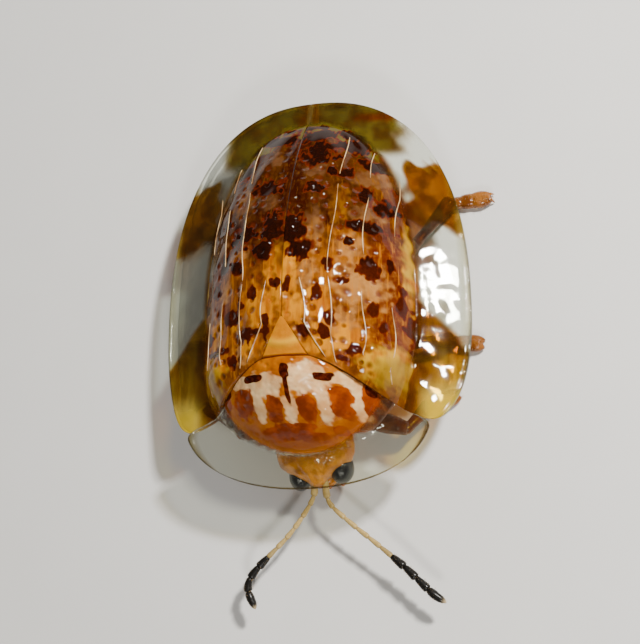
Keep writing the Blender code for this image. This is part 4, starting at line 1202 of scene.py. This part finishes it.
def feeler(side, material):
    """One feeler: each joint is a small vase, narrow at its root and widest near its far end."""
    dense, reach = smooth_route(FEELER_ROUTES[side])
    scale = reach[-1] / sum(FEELER_JOINTS)
    shares = np.linspace(0, 1, JOINT_STOPS)
    vase = np.interp(shares, (0, 0.12, 0.4, 0.8, 0.94, 1), (0.55, 0.74, 0.86, 1, 0.93, 0.55))
    bud = np.interp(shares, (0, 0.12, 0.35, 0.7, 0.9, 1), (0.55, 0.9, 1, 0.85, 0.5, 0.05))
    parts, club, tip, start = [], [], [], 0.0
    for number, joint in enumerate(FEELER_JOINTS):
        on_club = number >= CLUB_FROM
        last = number == len(FEELER_JOINTS) - 1
        radius = CLUB_RADIUS if on_club else FEELER_RADIUS * (1.35 if number == 0 else 1.0)
        radius = radius * (bud if last else vase)
        at = start + shares * joint * scale * (1.0 if last else 1.03)
        at = np.minimum(at, reach[-1])
        route = np.stack([np.interp(at, reach, dense[:, i]) for i in range(3)], -1)
        parts.append(ringed(route, radius, radius, JOINT_SIDES))
        dark = 1.0 if on_club else 0.25 * (number == CLUB_FROM - 1)
        club += [dark] * len(parts[-1][0])
        pale = ease(0.75, 1.0, shares) * last
        tip.append(np.concatenate((np.repeat(pale, JOINT_SIDES), (0.0, float(last)))))
        start += joint * scale
    values = {"club": np.array(club), "tip": np.concatenate(tip), "downy": 0.08 + np.array(club)}
    name = "feeler_" + side
    return finished("joints_" + name, *merged(parts), material, "feeler", [name], values)


def hair_finish():
    """Fine golden down."""
    paint = Paint("golden_down")
    colour = paint.mix(paint.noise(9.0), (0.4, 0.22, 0.08), (0.75, 0.55, 0.3))
    return paint.finish(paint.surface(colour, 0.45))


def hair_tree(material):
    """Geometry nodes: fine tapering hairs standing on a surface where its points are downy."""
    inputs = (
        ("Density", "Float", 1e8), ("Length", "Float", 1e-4), ("Radius", "Float", 4e-6),
        ("Seed", "Int", 1),
    )
    tree, sockets, given = new_tree("hair_coat", inputs)
    downy, spread, hair, grown = new_nodes(
        tree, "InputNamedAttribute", "DistributePointsOnFaces", "MeshCone", "InstanceOnPoints"
    )
    downy.inputs["Name"].default_value = "downy"
    amount = tree.nodes.new("ShaderNodeMath")
    amount.operation = "MULTIPLY"
    hair.inputs["Vertices"].default_value = 5
    hair.inputs["Radius Top"].default_value = 1e-6
    size = tree.nodes.new("FunctionNodeRandomValue")
    size.inputs[2].default_value = 0.5
    size.inputs[3].default_value = 1.2
    wire(
        tree, (downy, "Attribute", amount, 0), (given, "Density", amount, 1),
        (given, "Geometry", spread, "Mesh"), (amount, 0, spread, "Density"),
        (given, "Seed", spread, "Seed"), (given, "Length", hair, "Depth"),
        (given, "Radius", hair, "Radius Bottom"), (spread, "Points", grown, "Points"),
        (spread, "Rotation", grown, "Rotation"), (hair, "Mesh", grown, "Instance"),
        (size, 1, grown, "Scale"),
    )
    end_tree(tree, grown, "Instances", material)
    return tree, sockets


feeler_material = feeler_chitin()
hair_tools = hair_tree(hair_finish())
for side, seed in (("left", 3), ("right", 4)):
    joints = feeler(side, feeler_material)
    down = {"Density": 1.6e8, "Length": 0.045 * MM, "Radius": 0.003 * MM, "Seed": seed}
    run_tree("down_feeler_" + side, *hair_tools, down, "feeler", joints.data.copy())

# Six legs of coppery chitin, jointed at the hip: a stout thigh, a shin that widens to its end, and
# a broad foot of three padded lobes with a pair of hooked claws.
LEGS = {
    "front_left": ((0.85, -2.75, 0.6), (1.95, -3.1, 0.62), (2.4, -2.55, 0.34), (3.0, -2.3)),
    "front_right": ((-0.85, -2.75, 0.6), (-1.95, -3.0, 0.62), (-2.45, -2.5, 0.34), (-3.05, -2.2)),
    "middle_left": ((0.9, -0.95, 0.58), (2.25, -1.15, 0.6), (2.95, -1.1, 0.35), (3.6, -1.18)),
    "middle_right": ((-0.9, -0.95, 0.58), (-2.25, -1.05, 0.6), (-2.95, -0.85, 0.35), (-3.5, -0.75)),
    "hind_left": ((0.9, 0.1, 0.58), (2.2, 1.15, 0.6), (3.0, 2.2, 0.35), (3.95, 2.26)),
    "hind_right": ((-0.9, 0.1, 0.58), (-2.15, 1.05, 0.6), (-2.75, 1.85, 0.35), (-3.3, 2.3)),
}
THIGH_SHAPE = ((0.0, 0.17), (0.15, 0.2), (0.4, 0.245), (0.65, 0.23), (0.88, 0.17), (1.0, 0.15))
SHIN_SHAPE = ((0.0, 0.12), (0.12, 0.13), (0.3, 0.12), (0.6, 0.15), (0.9, 0.19), (1.0, 0.17))
CLAW_JOINT_SHAPE = ((0, 0.06), (0.6, 0.075), (1, 0.085))
CLAW_SHAPE = ((0, 0.05), (0.5, 0.035), (1, 0.012))
# Each lobe's place along the foot, half its length and half its width
LOBES = ((0.1, 0.26, 0.15), (0.38, 0.3, 0.18), (0.66, 0.32, 0.2))
LOBE_RINGS = 16
LOBE_SIDES = 24
LOBE_NOTCH = 0.3


def foot_lobe(middle, half, turn):
    """A closed egg, flat where it meets the floor, with a notch in its far end."""
    lift = np.linspace(-math.pi / 2, math.pi / 2, LOBE_RINGS)[1:-1]
    lift, angle = np.meshgrid(lift, np.arange(LOBE_SIDES) * 2 * math.pi / LOBE_SIDES, indexing="ij")
    x, y, z = np.cos(lift) * np.cos(angle), np.cos(lift) * np.sin(angle), np.sin(lift)
    y = y - LOBE_NOTCH * hump(x, 0.3) * ease(0.2, 1.0, y)
    local = np.stack((x.ravel(), y.ravel(), z.ravel()), -1)
    x, y, z = (np.concatenate((local, ((0, 0, -1), (0, 0, 1)))) * half).T
    cos, sin = math.cos(turn), math.sin(turn)
    points = np.stack((cos * x - sin * y, sin * x + cos * y, z), -1) + np.array(middle)
    points[:, 2] = np.maximum(points[:, 2], 0.0)
    return points, capped_faces(LOBE_RINGS - 2, LOBE_SIDES)


# The thighs and shins are a darker copy of the feet's coppery chitin: painted shade, as if they stood in
# the shadow of the shell while the feet are in the light.
shaded_leg_material = body_chitin("leg_chitin_painted_shade", (0.2, 0.06, 0.006), (0.08, 0.02, 0.002), 0.3)
foot_material = body_chitin("foot_chitin", (0.34, 0.12, 0.02), (0.13, 0.035, 0.005), 0.2)
for number, (name, stations) in enumerate(LEGS.items()):
    hip, knee, ankle, toe = (Vector((*place, 0.0)[:3]) for place in stations)
    out = (knee - hip).normalized()
    down = (ankle - knee).normalized()
    thigh = rounded_bar(hip - out * 0.2, knee + out * 0.06, THIGH_SHAPE, 24, 1.05)
    shin = rounded_bar(knee - down * 0.1, ankle + down * 0.05, SHIN_SHAPE, 24, 0.85)
    for part, shape in (("_thigh", thigh), ("_shin", shin)):
        finished("limb_" + name + part, *shape, shaded_leg_material, "leg", ["leg_" + name + part])

    heel = Vector((ankle.x, ankle.y, 0.0))
    run = toe - heel
    turn = math.atan2(-run.x, run.y)
    parts = []
    for share, half_length, half_width in LOBES:
        middle = heel.lerp(toe, share) + Vector((0, 0, 0.13))
        parts.append(foot_lobe(middle, (half_width, half_length, 0.15), turn))
    claw_root = heel.lerp(toe, 0.55) + Vector((0, 0, 0.22))
    claw_end = heel.lerp(toe, 0.93) + Vector((0, 0, 0.2))
    parts.append(rounded_bar(claw_root, claw_end, CLAW_JOINT_SHAPE, 14))
    side = Vector((-run.y, run.x, 0)).normalized()
    for hand in (-1, 1):
        root = heel.lerp(toe, 0.9) + side * hand * 0.05 + Vector((0, 0, 0.2))
        tip = toe + side * hand * 0.1 + Vector((0, 0, 0.05))
        parts.append(rounded_bar(root, tip, CLAW_SHAPE, 10, bend=(0, 0, 0.05)))
    points, faces = merged(parts)
    values = {"downy": ease(0.09, 0.15, points[:, 2])}
    node = "leg_" + name + "_foot"
    foot = finished("limb_" + name + "_foot", points, faces, foot_material, "leg", [node], values)
    hairs = {"Density": 1.2e8, "Length": 0.07 * MM, "Radius": 0.004 * MM, "Seed": 7 + 2 * number}
    run_tree("hairs_" + name, *hair_tools, hairs, "leg", foot.data.copy())

# The floor is a plain pale board under soft studio light: a small soft box high on the beetle's
# left and behind it, a broader one in front, a dim one behind on its right that nothing mirrors,
# and a dim, warm grey room.
FLOOR_HALF = 0.6
ROOM_COLOUR = (1.0, 0.98, 0.95, 1.0)
ROOM_STRENGTH = 0.11


def board_paint():
    """Pale matt paint with the faintest grain."""
    paint = Paint("pale_board")
    fine = paint.noise(0.6, 4.0)
    colour = paint.mix(fine, (0.78, 0.77, 0.74), (0.82, 0.81, 0.785))
    return paint.finish(paint.surface(colour, 0.6, Normal=paint.bump(fine, 0.05, 0.02)))


floor_mesh = bpy.data.meshes.new("floor")
corners = [(x * FLOOR_HALF, y * FLOOR_HALF, 0.0) for x, y in ((-1, -1), (1, -1), (1, 1), (-1, 1))]
floor_mesh.from_pydata(corners, [], [(0, 1, 2, 3)])
floor_mesh.materials.append(board_paint())
floor = placed("floor", floor_mesh)

world = bpy.data.worlds.new("studio")
bpy.context.scene.world = world
world.use_nodes = True
room = world.node_tree.nodes["Background"]
room.inputs["Color"].default_value = ROOM_COLOUR
room.inputs["Strength"].default_value = ROOM_STRENGTH


def soft_box(name, place, aim, size, power, colour, mirrored=True):
    """A soft light of that size in millimetres, turned to what it lights."""
    light = bpy.data.lights.new(name, "AREA")
    light.shape = "RECTANGLE"
    light.size, light.size_y = size[0] * MM, size[1] * MM
    light.energy = power
    light.color = colour
    made = placed(name, light)
    made.location = Vector(place) * MM
    made.visible_glossy = mirrored
    made.rotation_euler = (Vector(aim) - Vector(place)).to_track_quat("-Z", "Y").to_euler()


soft_box("key_light", (28.8, 17.0, 40.0), (0, 0, 1), (5, 5), 0.047, (1.0, 0.97, 0.92))
soft_box("front_light", (12, -34, 34), (0, 0, 1), (7, 7), 0.009, (1.0, 0.98, 0.95))
soft_box("rear_light", (-30, 28, 24), (0, 0, 1), (26, 18), 0.004, (1.0, 0.98, 0.96), False)

# The camera stands where the photograph's did: above the beetle's left shoulder and a little in
# front of it, looking down on the shell.
CAMERA_TARGET = Vector((0.0659, 0.4284, 1.7))
CAMERA_BACK = Vector((0.2925, -0.2610, 0.9200)).normalized()
CAMERA_RIGHT = Vector((0.953, 0.0, -0.303))
CAMERA_DISTANCE = 31.744
LENS = 80.73

right = (CAMERA_RIGHT - CAMERA_BACK * CAMERA_RIGHT.dot(CAMERA_BACK)).normalized()
up = CAMERA_BACK.cross(right)
lens = bpy.data.cameras.new("camera")
lens.lens = LENS
lens.sensor_width = 36.0
lens.sensor_fit = "HORIZONTAL"
lens.clip_start = 0.001
lens.clip_end = 10.0
camera = placed("camera", lens)
turned = Matrix((right, up, CAMERA_BACK)).transposed().to_4x4()
place = (CAMERA_TARGET + CAMERA_BACK * CAMERA_DISTANCE) * MM
camera.matrix_world = Matrix.Translation(place) @ turned
bpy.context.scene.camera = camera
